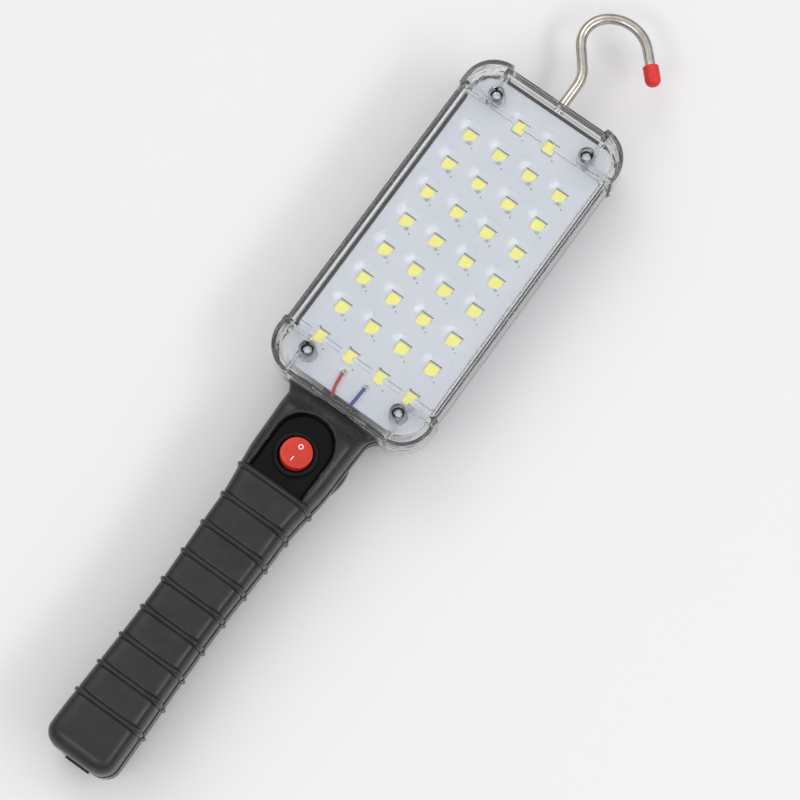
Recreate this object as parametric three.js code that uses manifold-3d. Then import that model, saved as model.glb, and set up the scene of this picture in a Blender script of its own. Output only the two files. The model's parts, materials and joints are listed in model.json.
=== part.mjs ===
// Rechargeable LED work light: a clear head with 34 LEDs, a ribbed two-shell handle
// with a rocker switch, a round magnet on its back and a swivelling wire hook.
// Millimetres. X is across, +Y runs from the handle to the hook, +Z is where the LEDs face.
// Lengths along Y are counted from the centre of the LED array, heights from the resting plane.
import * as THREE from "three";
import { mergeVertices } from "three/addons/utils/BufferGeometryUtils.js";
import Module from "manifold-3d";

const wasm = await Module();
wasm.setup();

// ---------- driving dimensions ----------

const GAP = 0.3; // clearance between neighbouring pieces

const LED_PITCH = 14.5;
const LED_COLUMNS = 4;
const LED_ROWS = 9; // the row at the hook end holds only the two middle LEDs
const LED_SIZE = 5.2;
const LED_HEIGHT = 1.3;

const HEAD = { halfWidth: 37, near: -79.2, far: 76, corner: 14.2, wall: 2, back: 7, top: 32.5 };
const HEAD_SPLIT = 19.6; // where the cover's rim meets the rear shell
const BACK_ROUNDING = { inset: 4, rise: 7 }; // the rear shell's sides curve in towards its flat back
const WALL_RECESS = { side: 1, end: 1.7 }; // the walls sit this far in between the corner blocks
const CORNER_BLOCK = 13.2; // width of a corner block, across the head
const CORNER_RIB = 1.4; // thickness of the walls that box in each corner
const END_STEP = 1; // the cover's end panels sit this much lower than its middle panel
const STEP_INSET = { near: 18.7, far: 17.9 }; // end panel lengths
const LENS_RADIUS = 5.35;
const LENS_RISE = 1.2;

const BOARD = { halfWidth: 32, near: -73.4, far: 70.6, corner: 10.5, top: 20.5, thickness: 1.2 };
const SEAL = { width: 1.1, low: 18.1, high: 20.8 }; // strips inside the joint between the walls

const SCREW_X = 21.9;
const SCREW_NEAR = -66.3;
const SCREW_FAR = 62.4;
const COLUMN_RADIUS = 3.5;
const COUNTERBORE = { radius: 2.7, floor: 24 };
const SCREW = { head: 1.9, headHeight: 1.8, shank: 1.25 };
const SCREW_SEAL = { radius: 2.4, thickness: 0.8 }; // under each cover screw's head
const SHANK_HOLE = SCREW.shank + GAP;

const PARTING = 21; // height of the seam between the two handle shells
const HANDLE = { near: HEAD.near - GAP, end: -248.2, wall: 2.2, endFillet: 7 };
const FLARE = { radius: 6.5, growth: 5.5 }; // the neck widens up to the head along this arc
const RIBS = { first: -118.7, last: -225.7, count: 9, width: 2.4, rise: 0.9 };
// Half-width, front height and back height of the grip where each one turns.
const GRIP_HALF_WIDTH = [[HANDLE.near, 18.4], [-104, 17.8], [-136, 15], [-180, 14.1], [HANDLE.end, 15.5]];
const GRIP_FRONT = [[HANDLE.near, 26.5], [-90, 34.4], [-118, 34.4], [-167, 32.4], [HANDLE.end, 35]];
const GRIP_BACK = [[HANDLE.near, 7], [-100, 6.6], [-136, 2.4], [HANDLE.end, 0.9]];
const FRONT_SQUARENESS = 4.6; // superellipse exponents of the cross-section
const BACK_SQUARENESS = 4.2;

const ARCH = { halfWidth: 12.2, top: -87, bottom: -117.4, floor: 32 };
const SWITCH = { y: -103.7, pivot: 31.4, body: 7.9, flange: 9, pocket: 7.25, bottom: 17.5 };
const ROCKER = { radius: 6.5, valley: 2.6, depth: 3, tilt: THREE.MathUtils.degToRad(10) };
const BLADE = { width: 4.8, thickness: 0.8, length: 7, spread: 3.7 };

const CELL = { radius: 9.1, length: 65, near: -127.5, height: 15 };
const CHARGER = { halfWidth: 6.2, near: -204, far: -241.5, bottom: 6.1, thickness: 1.6 };
const SOCKET = { width: 7.6, depth: 5.4, height: 2.7, mouthWidth: 6.6, mouthHeight: 1.6 };
const PORT = { width: 9.2, height: 4.2, centre: 9.5, rim: 1.1, proud: 0.9 };

const MAGNET = {
  y: -98,
  cup: 17.5,
  ring: 15.2,
  bore: 3.4,
  thickness: 4,
  cupTop: 6.2,
  seat: 8.8,
  bossRadius: 3.4,
  bossTop: 9.8,
};

const HOOK = {
  wire: 2,
  height: 13.3,
  inner: 66,
  shankEnd: 88.7,
  neckRadius: 13,
  neckTurn: 38.6,
  riser: 8.9,
  firstRadius: 11.1, // the top bend starts tighter than it ends
  lastRadius: 15.7,
  halfTurn: -87.4,
  tip: 13.9,
  washer: 3.9,
  rivet: 3.2, // radius of the upset inner end that holds the washer
};
const BEARING = { radius: 4.4, length: 5.5 }; // the boss that the hook's wire turns in
const TIP_CAP = { radius: 3.3, length: 9, grip: 7.4 };

const SPIGOT = { halfWidth: 13, bottom: 9.5, top: 18.6, wall: 2, length: 8 };
const GROMMET = { halfWidth: 8.5, flange: 1, bodyHalfWidth: 7.7, far: -83, shelfLow: 19, shelfHigh: 20.2 };
const WIRE_RADIUS = 0.7;
const WIRE_X = 4.2;
const WIRE_HEIGHT = 14.1;

const NECK_SCREW = { x: 12.6, y: -121 };
const END_SCREW = { x: 10.2, y: -212 };
const BOSS_RADIUS = 3.2;
const SCREW_SEAT = 12; // height of the heads' seat inside the back shell
const SCREW_BITE = 3.4; // how far each screw reaches into the front shell

// ---------- materials ----------

const look = (color, roughness, metalness = 0, opacity = 1) =>
  new THREE.MeshStandardMaterial({ color, roughness, metalness, opacity, transparent: opacity < 1 });

const clearPlastic = look(0xf4f7fa, 0.08, 0, 0.3);
const blackPlastic = look(0x2b2b2d, 0.5);
const boardWhite = look(0xd7dcec, 0.35);
const ledYellow = look(0xf5ef86, 0.5);
const steel = look(0xb9b7b2, 0.25, 1);
const redPlastic = look(0xdc3526, 0.3);
const redVinyl = look(0xe0392c, 0.45);
const blueVinyl = look(0x3a4aa8, 0.45);
const blackVinyl = look(0x1d1d20, 0.5);
const brass = look(0xc9a85a, 0.35, 1);
const rubber = look(0x18181a, 0.8);
const cellWrap = look(0x2f7fc0, 0.35);
const circuitGreen = look(0x1f6b3c, 0.4);
const ferrite = look(0x6a6a6e, 0.45, 0.8);

// ---------- solids ----------

// A closed geometry as a solid that can be joined and cut.
function solid(geometry) {
  const bare = geometry.clone();
  bare.deleteAttribute("normal");
  bare.deleteAttribute("uv");
  const merged = mergeVertices(bare, 1e-4);
  return new wasm.Manifold(
    new wasm.Mesh({
      numProp: 3,
      vertProperties: new Float32Array(merged.getAttribute("position").array),
      triVerts: new Uint32Array(merged.index.array),
    }),
  );
}

function geometryOf(manifold) {
  const mesh = manifold.getMesh();
  const geometry = new THREE.BufferGeometry();
  geometry.setAttribute("position", new THREE.BufferAttribute(mesh.vertProperties, 3));
  geometry.setIndex(new THREE.BufferAttribute(mesh.triVerts, 1));
  geometry.computeVertexNormals();
  return geometry;
}

const union = (solids) => solids.reduce((sum, one) => sum.add(one));

function prism(shape, low, high, curveSegments = 6) {
  const depth = high - low;
  const geometry = new THREE.ExtrudeGeometry(shape, { depth, bevelEnabled: false, curveSegments });
  return solid(geometry.translate(0, 0, low));
}

function box(x0, x1, y0, y1, z0, z1) {
  const geometry = new THREE.BoxGeometry(x1 - x0, y1 - y0, z1 - z0);
  return solid(geometry.translate((x0 + x1) / 2, (y0 + y1) / 2, (z0 + z1) / 2));
}

function upright(radius, x, y, low, high, segments = 16) {
  const geometry = new THREE.CylinderGeometry(radius, radius, high - low, segments);
  return solid(geometry.rotateX(Math.PI / 2).translate(x, y, (low + high) / 2));
}

// A cylinder lying along Y.
function lengthwise(radius, x, z, near, far, segments = 16) {
  const geometry = new THREE.CylinderGeometry(radius, radius, far - near, segments);
  return solid(geometry.translate(x, (near + far) / 2, z));
}

function roundedRectangle(halfWidth, near, far, corner) {
  const shape = new THREE.Shape();
  shape.moveTo(halfWidth, near + corner);
  shape.lineTo(halfWidth, far - corner);
  shape.absarc(halfWidth - corner, far - corner, corner, 0, Math.PI / 2);
  shape.lineTo(corner - halfWidth, far);
  shape.absarc(corner - halfWidth, far - corner, corner, Math.PI / 2, Math.PI);
  shape.lineTo(-halfWidth, near + corner);
  shape.absarc(corner - halfWidth, near + corner, corner, Math.PI, 1.5 * Math.PI);
  shape.lineTo(halfWidth - corner, near);
  shape.absarc(halfWidth - corner, near + corner, corner, 1.5 * Math.PI, 2 * Math.PI);
  return shape;
}

function circleShape(radius) {
  const shape = new THREE.Shape();
  shape.absarc(0, 0, radius, 0, 2 * Math.PI);
  return shape;
}

function tube(points, radius, steps, sides) {
  const path = new THREE.CatmullRomCurve3(points, false, "centripetal");
  const curveSegments = sides / 2;
  const settings = { steps, extrudePath: path, curveSegments, bevelEnabled: false };
  return new THREE.ExtrudeGeometry(circleShape(radius), settings);
}

// Value at y of a quantity that turns smoothly at each [y, value] stop, y descending.
function eased(stops, y) {
  const next = Math.max(1, stops.findIndex(([stop]) => stop <= y));
  const [y0, a] = stops[next - 1];
  const [y1, b] = stops[next];
  const share = THREE.MathUtils.clamp((y - y0) / (y1 - y0), 0, 1);
  return a + ((b - a) * (1 - Math.cos(Math.PI * share))) / 2;
}

const signedPower = (value, exponent) => Math.sign(value) * Math.abs(value) ** exponent;

// A solid through superellipse sections at the stations, which descend in y.
function loft(stations, section, segments) {
  const rows = stations.length - 1;
  const geometry = new THREE.CylinderGeometry(1, 1, 1, segments, rows);
  const place = geometry.getAttribute("position");
  for (let i = 0; i < place.count; i++) {
    const y = stations[Math.round((0.5 - place.getY(i)) * rows)];
    const { halfWidth, rise, drop } = section(y);
    const up = place.getZ(i);
    const power = 2 / (up > 0 ? FRONT_SQUARENESS : BACK_SQUARENESS);
    const x = halfWidth * signedPower(place.getX(i), power);
    const z = PARTING + (up > 0 ? rise : drop) * signedPower(up, power);
    place.setXYZ(i, x, y, z);
  }
  return solid(geometry);
}

// ---------- scene graph ----------

const light = new THREE.Group();
const assembly = new THREE.Group();
light.add(assembly);

function add(name, shape, material, parent = assembly) {
  const geometry = shape.isBufferGeometry ? shape : geometryOf(shape);
  const mesh = new THREE.Mesh(geometry, material);
  mesh.name = name;
  parent.add(mesh);
  return mesh;
}

// ---------- head ----------

const screwPlaces = [
  [-SCREW_X, SCREW_NEAR],
  [SCREW_X, SCREW_NEAR],
  [-SCREW_X, SCREW_FAR],
  [SCREW_X, SCREW_FAR],
];

function ledPlaces() {
  const places = [];
  for (let row = 0; row < LED_ROWS; row++) {
    const y = (row - (LED_ROWS - 1) / 2) * LED_PITCH;
    const skip = row === LED_ROWS - 1 ? 1 : 0;
    const xs = [];
    for (let column = skip; column < LED_COLUMNS - skip; column++) {
      xs.push((column - (LED_COLUMNS - 1) / 2) * LED_PITCH);
    }
    places.push({ y, xs });
  }
  return places;
}

const headOutline = roundedRectangle(HEAD.halfWidth, HEAD.near, HEAD.far, HEAD.corner);

// The space inside the walls, which are set in between the corner blocks.
const INSIDE = {
  halfWidth: HEAD.halfWidth - HEAD.wall - WALL_RECESS.side,
  near: HEAD.near + HEAD.wall,
  far: HEAD.far - HEAD.wall - WALL_RECESS.end,
};
const cavityOutline = roundedRectangle(
  INSIDE.halfWidth,
  INSIDE.near,
  INSIDE.far,
  HEAD.corner - HEAD.wall,
);

// A shallow dome that focuses one LED, standing on the cover's middle or end panel.
function lensBump(x, y, panel) {
  const ball = (LENS_RADIUS ** 2 + LENS_RISE ** 2) / (2 * LENS_RISE);
  const edge = Math.asin(LENS_RADIUS / ball);
  const profile = [new THREE.Vector2(0, -0.5), new THREE.Vector2(LENS_RADIUS, -0.5)];
  for (const angle of [edge, edge / 2]) {
    profile.push(new THREE.Vector2(ball * Math.sin(angle), ball * (Math.cos(angle) - 1) + LENS_RISE));
  }
  profile.push(new THREE.Vector2(0, LENS_RISE));
  const dome = new THREE.LatheGeometry(profile, 10).rotateX(Math.PI / 2);
  return solid(dome.translate(x, y, panel));
}

// The walls that box in each corner, beside the screw column.
function cornerRibs(sideX, end, step) {
  const thickness = CORNER_RIB;
  const ribX = sideX * (HEAD.halfWidth - CORNER_BLOCK + thickness);
  const wallX = sideX * (HEAD.halfWidth - HEAD.wall / 2);
  const low = BOARD.top + 0.6;
  const high = HEAD.top - END_STEP - 0.5;
  const [y0, y1] = [Math.min(end, step), Math.max(end, step)];
  const [x0, x1] = [Math.min(ribX, wallX), Math.max(ribX, wallX)];
  const across = step - (Math.sign(step - end) * thickness) / 2;
  return [
    box(ribX - thickness / 2, ribX + thickness / 2, y0 + 1, y1 - 0.2, low, high),
    box(x0, x1, across - thickness / 2, across + thickness / 2, low, high),
  ];
}

// What is cut away to set the long walls and the hook end's wall in between the corner blocks.
function wallRecesses(low, high) {
  const { halfWidth, near, far } = HEAD;
  const beyond = halfWidth + 1;
  const flank = halfWidth - WALL_RECESS.side;
  const y0 = near + STEP_INSET.near;
  const y1 = far - STEP_INSET.far;
  const across = halfWidth - CORNER_BLOCK;
  return union([
    box(-beyond, -flank, y0, y1, low, high),
    box(flank, beyond, y0, y1, low, high),
    box(-across, across, far - WALL_RECESS.end, far + 1, low, high),
  ]);
}

function frontCover() {
  const stepNear = HEAD.near + STEP_INSET.near;
  const stepFar = HEAD.far - STEP_INSET.far;
  const rim = HEAD_SPLIT + GAP;
  const panelTop = HEAD.top - LENS_RISE;
  const endTop = panelTop - END_STEP;
  const beyond = HEAD.halfWidth + 5;
  let cover = prism(headOutline, rim, panelTop);
  cover = cover.subtract(prism(cavityOutline, rim - 1, endTop - HEAD.wall));
  cover = cover.subtract(wallRecesses(rim - 1, HEAD.top));
  cover = cover.subtract(box(-beyond, beyond, HEAD.near - 1, stepNear, endTop, HEAD.top));
  cover = cover.subtract(box(-beyond, beyond, stepFar, HEAD.far + 1, endTop, HEAD.top));
  for (const { y, xs } of ledPlaces()) {
    const onMiddle = y > stepNear + LENS_RADIUS && y < stepFar - LENS_RADIUS;
    const panel = onMiddle ? panelTop : endTop;
    cover = cover.add(union(xs.map((x) => lensBump(x, y, panel))));
  }
  for (const side of [-1, 1]) {
    cover = cover.add(union(cornerRibs(side, HEAD.near + 1, stepNear)));
    cover = cover.add(union(cornerRibs(side, HEAD.far - 1, stepFar)));
  }
  const columnLow = BOARD.top - BOARD.thickness;
  for (const [x, y] of screwPlaces) {
    cover = cover.add(upright(COLUMN_RADIUS, x, y, columnLow, endTop - 0.5));
    cover = cover.subtract(upright(COUNTERBORE.radius, x, y, COUNTERBORE.floor, HEAD.top + 1));
    cover = cover.subtract(upright(SHANK_HOLE, x, y, columnLow - 1, HEAD.top, 12));
  }
  return cover;
}

// A block of the given outline whose lower edge is rounded, from the given height upwards.
function roundedBack(outline, low) {
  const { inset: bevelSize, rise: bevelThickness } = BACK_ROUNDING;
  const geometry = new THREE.ExtrudeGeometry(outline, {
    depth: HEAD.top,
    curveSegments: 6,
    bevelEnabled: true,
    bevelSize,
    bevelThickness,
    bevelOffset: -bevelSize,
    bevelSegments: 3,
  });
  return solid(geometry.translate(0, 0, low + bevelThickness));
}

function rearShell() {
  const floor = HEAD.back + HEAD.wall;
  let shell = roundedBack(headOutline, HEAD.back).intersect(prism(headOutline, 0, HEAD_SPLIT));
  shell = shell.subtract(roundedBack(cavityOutline, floor));
  const grommetRoom = GROMMET.halfWidth + GAP;
  const insideWall = HEAD.near + HEAD.wall;
  shell = shell.subtract(box(-grommetRoom, grommetRoom, insideWall, insideWall + 4, floor + 0.7, 14));
  shell = shell.subtract(wallRecesses(0, HEAD_SPLIT + 1));
  const postTop = BOARD.top - BOARD.thickness - GAP;
  for (const [x, y] of screwPlaces) {
    shell = shell.add(upright(COLUMN_RADIUS, x, y, floor - 0.5, postTop));
    shell = shell.subtract(upright(SHANK_HOLE, x, y, floor + 0.5, postTop + 1, 12));
  }
  const wallFace = HEAD.far - WALL_RECESS.end;
  const bearingInner = wallFace - BEARING.length;
  shell = shell.add(lengthwise(BEARING.radius, 0, HOOK.height, bearingInner, wallFace - 0.5));
  shell = shell.subtract(lengthwise(HOOK.wire + GAP, 0, HOOK.height, bearingInner - 1, HEAD.far + 1));
  const spigotEnd = HEAD.near - SPIGOT.length;
  const { halfWidth, bottom, top, wall } = SPIGOT;
  shell = shell.add(box(-halfWidth, halfWidth, spigotEnd, HEAD.near + 1, bottom, top));
  const bore = halfWidth - wall;
  const inside = HEAD.near + HEAD.wall + 1;
  return shell.subtract(box(-bore, bore, spigotEnd - 1, inside, bottom + wall, top - wall));
}

function ledBoard() {
  const outline = roundedRectangle(BOARD.halfWidth, BOARD.near, BOARD.far, BOARD.corner);
  let board = prism(outline, BOARD.top - BOARD.thickness, BOARD.top);
  for (const [x, y] of screwPlaces) {
    board = board.subtract(upright(COLUMN_RADIUS + GAP, x, y, BOARD.top - 3, BOARD.top + 3));
  }
  return board;
}

// A rubber strip beside the board, against one long wall.
function sideSeal(side) {
  const outer = side * (INSIDE.halfWidth - GAP);
  const inner = outer - side * SEAL.width;
  const near = HEAD.near + STEP_INSET.near + GAP;
  const far = HEAD.far - STEP_INSET.far - GAP;
  return box(Math.min(outer, inner), Math.max(outer, inner), near, far, SEAL.low, SEAL.high);
}

function endSeal() {
  const reach = HEAD.halfWidth - CORNER_BLOCK - CORNER_RIB + GAP;
  const outer = INSIDE.far - GAP;
  return box(-reach, reach, outer - SEAL.width, outer, SEAL.low, SEAL.high);
}

// The LEDs of one row, joined by the solder strip that runs under them.
function ledRow({ y, xs }) {
  const base = BOARD.top + 0.05;
  const half = LED_SIZE / 2;
  const strip = box(xs[0], xs[xs.length - 1], y - 0.6, y + 0.6, base, base + 0.2);
  const packages = xs.map((x) => box(x - half, x + half, y - half, y + half, base, base + LED_HEIGHT));
  return strip.add(union(packages));
}

function screwSeal(x, y) {
  const low = COUNTERBORE.floor + GAP;
  const high = low + SCREW_SEAL.thickness;
  return upright(SCREW_SEAL.radius, x, y, low, high, 20).subtract(
    upright(SHANK_HOLE, x, y, low - 1, high + 1, 12),
  );
}

function screw(x, y, headLow, tip) {
  const head = upright(SCREW.head, x, y, headLow, headLow + SCREW.headHeight, 12);
  const slot = box(x - 1.4, x + 1.4, y - 0.35, y + 0.35, headLow + 1, headLow + 3);
  return head.subtract(slot).add(upright(SCREW.shank, x, y, tip, headLow + 0.5, 10));
}

add("front_cover", frontCover(), clearPlastic);
add("head_rear_shell", rearShell(), clearPlastic);
add("led_board", ledBoard(), boardWhite);
add("seal_left", sideSeal(-1), rubber);
add("seal_right", sideSeal(1), rubber);
add("seal_hook_end", endSeal(), rubber);
ledPlaces().forEach((row, i) => add(`led_row_${i + 1}`, ledRow(row), ledYellow));
screwPlaces.forEach(([x, y], i) => {
  const tip = HEAD.back + HEAD.wall + 1.2;
  const headLow = COUNTERBORE.floor + 2 * GAP + SCREW_SEAL.thickness;
  add(`cover_screw_${i + 1}`, screw(x, y, headLow, tip), steel);
  add(`screw_seal_${i + 1}`, screwSeal(x, y), rubber);
});

// ---------- hook ----------

// Centreline points of a wire bent in one plane: straights and arcs, one after another.
function bentWire(start, heading, moves) {
  const points = [start.clone()];
  const here = start.clone();
  let angle = THREE.MathUtils.degToRad(heading);
  for (const { straight, radius, turn } of moves) {
    const steps = straight ? 4 : Math.max(3, Math.round(Math.abs(turn) / 14));
    for (let i = 0; i < steps; i++) {
      const bend = straight ? 0 : THREE.MathUtils.degToRad(turn) / steps;
      const chord = straight ? straight / steps : 2 * radius * Math.sin(Math.abs(bend) / 2);
      angle += bend / 2;
      here.x += chord * Math.cos(angle);
      here.y += chord * Math.sin(angle);
      angle += bend / 2;
      points.push(here.clone());
    }
  }
  return { points, end: here, angle };
}

const hookLine = bentWire(new THREE.Vector3(0, HOOK.inner, HOOK.height), 90, [
  { straight: HOOK.shankEnd - HOOK.inner },
  { radius: HOOK.neckRadius, turn: HOOK.neckTurn },
  { straight: HOOK.riser },
  { radius: HOOK.firstRadius, turn: HOOK.halfTurn },
  { radius: HOOK.lastRadius, turn: HOOK.halfTurn },
  { straight: HOOK.tip },
]);

function hookWire() {
  const bar = solid(tube(hookLine.points, HOOK.wire, 46, 10));
  return bar.add(lengthwise(HOOK.rivet, 0, HOOK.height, HOOK.inner - 1.5, HOOK.inner + 0.1, 14));
}

// A closed sleeve with a rounded nose, pushed over the hook's tip.
function tipCap() {
  const { radius, length, grip } = TIP_CAP;
  const bore = HOOK.wire + GAP;
  const profile = [
    new THREE.Vector2(bore, 0),
    new THREE.Vector2(radius, 0),
    new THREE.Vector2(radius, length - 2),
    new THREE.Vector2(radius - 0.8, length - 0.6),
    new THREE.Vector2(radius - 2, length),
    new THREE.Vector2(0, length),
    new THREE.Vector2(0, grip),
    new THREE.Vector2(bore, grip),
    new THREE.Vector2(bore, 0),
  ];
  const cap = new THREE.LatheGeometry(profile, 16);
  cap.rotateZ(hookLine.angle - Math.PI / 2);
  const back = grip - GAP;
  const x = hookLine.end.x - back * Math.cos(hookLine.angle);
  const y = hookLine.end.y - back * Math.sin(hookLine.angle);
  return cap.translate(x, y, HOOK.height);
}

function hookWasher() {
  const near = HOOK.inner + GAP;
  const ring = lengthwise(HOOK.washer, 0, HOOK.height, near, near + 1);
  return ring.subtract(lengthwise(HOOK.wire + GAP, 0, HOOK.height, near - 1, near + 2));
}

add("hook_wire", hookWire(), steel);
add("hook_tip_cap", tipCap(), redVinyl);
add("hook_washer", hookWasher(), steel);

// ---------- handle ----------

const ribPlaces = Array.from(
  { length: RIBS.count },
  (_, i) => RIBS.first + ((RIBS.last - RIBS.first) * i) / (RIBS.count - 1),
);

function ribRise(y) {
  const nearest = Math.min(...ribPlaces.map((rib) => Math.abs(y - rib)));
  return RIBS.rise * Math.max(0, 1 - nearest / (RIBS.width / 2));
}

// Half-width, rise above the seam and drop below it, with the rounded end and the flared neck.
function gripSection(y, inset, proud) {
  const end = HANDLE.end + inset;
  const fillet = HANDLE.endFillet - inset;
  const past = Math.max(0, fillet - (y - end));
  const rounding = fillet - Math.sqrt(Math.max(0, fillet ** 2 - past ** 2));
  const up = Math.max(0, y - HANDLE.near + FLARE.growth);
  const flare = FLARE.radius - Math.sqrt(FLARE.radius ** 2 - up ** 2);
  const trim = inset + rounding - proud;
  return {
    halfWidth: eased(GRIP_HALF_WIDTH, y) + flare - trim,
    rise: eased(GRIP_FRONT, y) - PARTING - trim,
    drop: PARTING - eased(GRIP_BACK, y) - trim,
  };
}

function gripStations(near, far, fillet, ribs) {
  const stations = [];
  const straightEnd = far + fillet;
  const count = 9;
  for (let i = 0; i < count; i++) stations.push(near + ((straightEnd - near) * i) / count);
  for (const share of [0, 0.3, 0.55, 0.75, 0.9]) stations.push(straightEnd - fillet * share);
  for (const back of [0.5, 1.2, 2.2, 3.4, 5.5]) stations.push(HANDLE.near - back);
  for (const rib of ribs) {
    for (const offset of [1, 0, -1]) stations.push(rib + (offset * RIBS.width) / 2);
  }
  stations.push(far + 0.02);
  return stations.filter((y) => y <= near).sort((a, b) => b - a);
}

const gripOuter = loft(
  gripStations(HANDLE.near, HANDLE.end, HANDLE.endFillet, ribPlaces),
  (y) => gripSection(y, 0, ribRise(y)),
  28,
);
const gripInner = loft(
  gripStations(
    HANDLE.near - HANDLE.wall,
    HANDLE.end + HANDLE.wall,
    HANDLE.endFillet - HANDLE.wall,
    [],
  ),
  (y) => gripSection(y, HANDLE.wall, 0),
  20,
);

function archShape(halfWidth, reach) {
  const centre = ARCH.top - halfWidth;
  const shape = new THREE.Shape();
  shape.moveTo(-halfWidth, ARCH.bottom - reach);
  shape.lineTo(halfWidth, ARCH.bottom - reach);
  shape.lineTo(halfWidth, centre);
  shape.absarc(0, centre, halfWidth, 0, Math.PI);
  return shape;
}

const handleScrewPlaces = [NECK_SCREW, END_SCREW].flatMap(({ x, y }) => [[-x, y], [x, y]]);

function portBlock(margin, outside, inside) {
  const { width, height, centre } = PORT;
  const across = width / 2 + margin;
  const up = height / 2 + margin;
  return box(-across, across, HANDLE.end - outside, HANDLE.end + inside, centre - up, centre + up);
}

const portCollar = () => portBlock(PORT.rim, PORT.proud, HANDLE.wall);
const portSlot = () => portBlock(0, PORT.proud + 0.5, HANDLE.wall + 1.5);

function handleFrontShell() {
  const above = box(-40, 40, HANDLE.end - 5, HEAD.near + 5, PARTING + GAP / 2, 50);
  let shell = gripOuter.subtract(gripInner);
  shell = shell.add(gripOuter.intersect(prism(archShape(ARCH.halfWidth + 1.5, 1), ARCH.floor - 2.2, 40)));
  for (const [x, y] of handleScrewPlaces) {
    shell = shell.add(gripOuter.intersect(upright(BOSS_RADIUS, x, y, PARTING, 32)));
  }
  shell = shell.intersect(above);
  shell = shell.subtract(prism(archShape(ARCH.halfWidth, 0), ARCH.floor, 40));
  shell = shell.subtract(upright(SWITCH.body + GAP, 0, SWITCH.y, ARCH.floor - 5, 40, 24));
  for (const [x, y] of handleScrewPlaces) {
    shell = shell.subtract(upright(SHANK_HOLE, x, y, PARTING - 1, PARTING + SCREW_BITE + GAP, 12));
  }
  return shell;
}

function handleRearShell() {
  const below = box(-40, 40, HANDLE.end - 5, HEAD.near + 5, -5, PARTING - GAP / 2);
  const { y: magnetY, cup, cupTop, seat, bossRadius, bossTop } = MAGNET;
  const magnetSeat = upright(cup - 0.5, 0, magnetY, cupTop, seat, 24);
  const magnetBoss = upright(bossRadius, 0, magnetY, cupTop, bossTop, 14);
  let shell = gripOuter.subtract(gripInner).add(magnetSeat).add(magnetBoss).add(portCollar());
  shell = shell.subtract(upright(cup + GAP, 0, magnetY, -1, cupTop + GAP, 32));
  for (const [x, y] of handleScrewPlaces) {
    shell = shell.add(gripOuter.intersect(upright(BOSS_RADIUS, x, y, 2, PARTING)));
  }
  shell = shell.intersect(below);
  for (const [x, y] of handleScrewPlaces) {
    shell = shell.subtract(upright(SCREW.head + GAP, x, y, -1, SCREW_SEAT, 14));
    shell = shell.subtract(upright(SHANK_HOLE, x, y, 0, PARTING + 1, 12));
  }
  const { halfWidth, bottom, top } = SPIGOT;
  const doorway = halfWidth + GAP;
  const inner = HANDLE.near - HANDLE.wall - 1;
  shell = shell.subtract(
    box(-doorway, doorway, inner - 6, HANDLE.near + 1, bottom - GAP, top + GAP),
  );
  shell = shell.subtract(upright(SHANK_HOLE, 0, magnetY, 0, bossTop + 1, 12));
  return shell.subtract(portSlot());
}

add("handle_front_shell", handleFrontShell(), blackPlastic);
add("handle_rear_shell", handleRearShell(), blackPlastic);
handleScrewPlaces.forEach(([x, y], i) => {
  const head = upright(SCREW.head, x, y, SCREW_SEAT - GAP - SCREW.headHeight, SCREW_SEAT - GAP, 12);
  const shank = upright(SCREW.shank, x, y, SCREW_SEAT - 1, PARTING + SCREW_BITE, 10);
  add(`handle_screw_${i + 1}`, head.add(shank), steel);
});

// ---------- switch ----------

function switchHousing() {
  const flangeLow = ARCH.floor + GAP;
  const body = upright(SWITCH.body, 0, SWITCH.y, SWITCH.bottom, flangeLow + 0.2, 24);
  const flange = upright(SWITCH.flange, 0, SWITCH.y, flangeLow, flangeLow + 1.2, 28);
  const pocket = upright(SWITCH.pocket, 0, SWITCH.y, SWITCH.pivot - 5, 40, 24);
  const pivot = new THREE.CylinderGeometry(1.2, 1.2, 30, 12).rotateZ(Math.PI / 2);
  const bore = solid(pivot.translate(0, SWITCH.y, SWITCH.pivot));
  return body.add(flange).subtract(pocket).subtract(bore);
}

// The rocker about its own pivot: a disc with a shallow valley across its face.
function rockerShape() {
  const { radius, valley, depth, tilt } = ROCKER;
  const rim = valley + radius * Math.tan(tilt);
  const side = new THREE.Shape();
  side.moveTo(-radius, -depth);
  side.lineTo(radius, -depth);
  side.lineTo(radius, rim);
  side.lineTo(0, valley);
  side.lineTo(-radius, rim);
  const across = 2 * radius;
  const slab = new THREE.ExtrudeGeometry(side, { depth: across, bevelEnabled: false });
  slab.translate(0, 0, -across / 2);
  slab.rotateX(Math.PI / 2);
  slab.rotateZ(Math.PI / 2);
  const disc = upright(radius, 0, 0, -depth - 1, rim + 1, 28);
  const pin = solid(new THREE.CylinderGeometry(0.9, 0.9, 2 * radius + 2.2, 10).rotateZ(Math.PI / 2));
  return solid(slab).intersect(disc).add(pin);
}

add("switch_housing", switchHousing(), blackPlastic);
const rocker = add("switch_rocker", rockerShape(), redPlastic);
rocker.position.set(0, SWITCH.y, SWITCH.pivot);
rocker.rotation.x = -ROCKER.tilt;
[-1, 1].forEach((side, i) => {
  const y = SWITCH.y + side * BLADE.spread;
  const top = SWITCH.bottom - GAP;
  const half = BLADE.width / 2;
  const blade = new THREE.BoxGeometry(BLADE.width, BLADE.thickness, BLADE.length);
  add(`switch_terminal_${i + 1}`, blade.translate(0, y, top - BLADE.length / 2), brass);
});

// ---------- magnet ----------

function magnetCup() {
  const { y, cup, ring, cupTop, thickness } = MAGNET;
  const outer = upright(cup, 0, y, 0.5, cupTop, 32);
  const pocket = upright(ring + GAP, 0, y, -1, thickness + GAP, 32);
  return outer.subtract(pocket).subtract(upright(SHANK_HOLE, 0, y, 0, cupTop + 1, 12));
}

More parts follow.
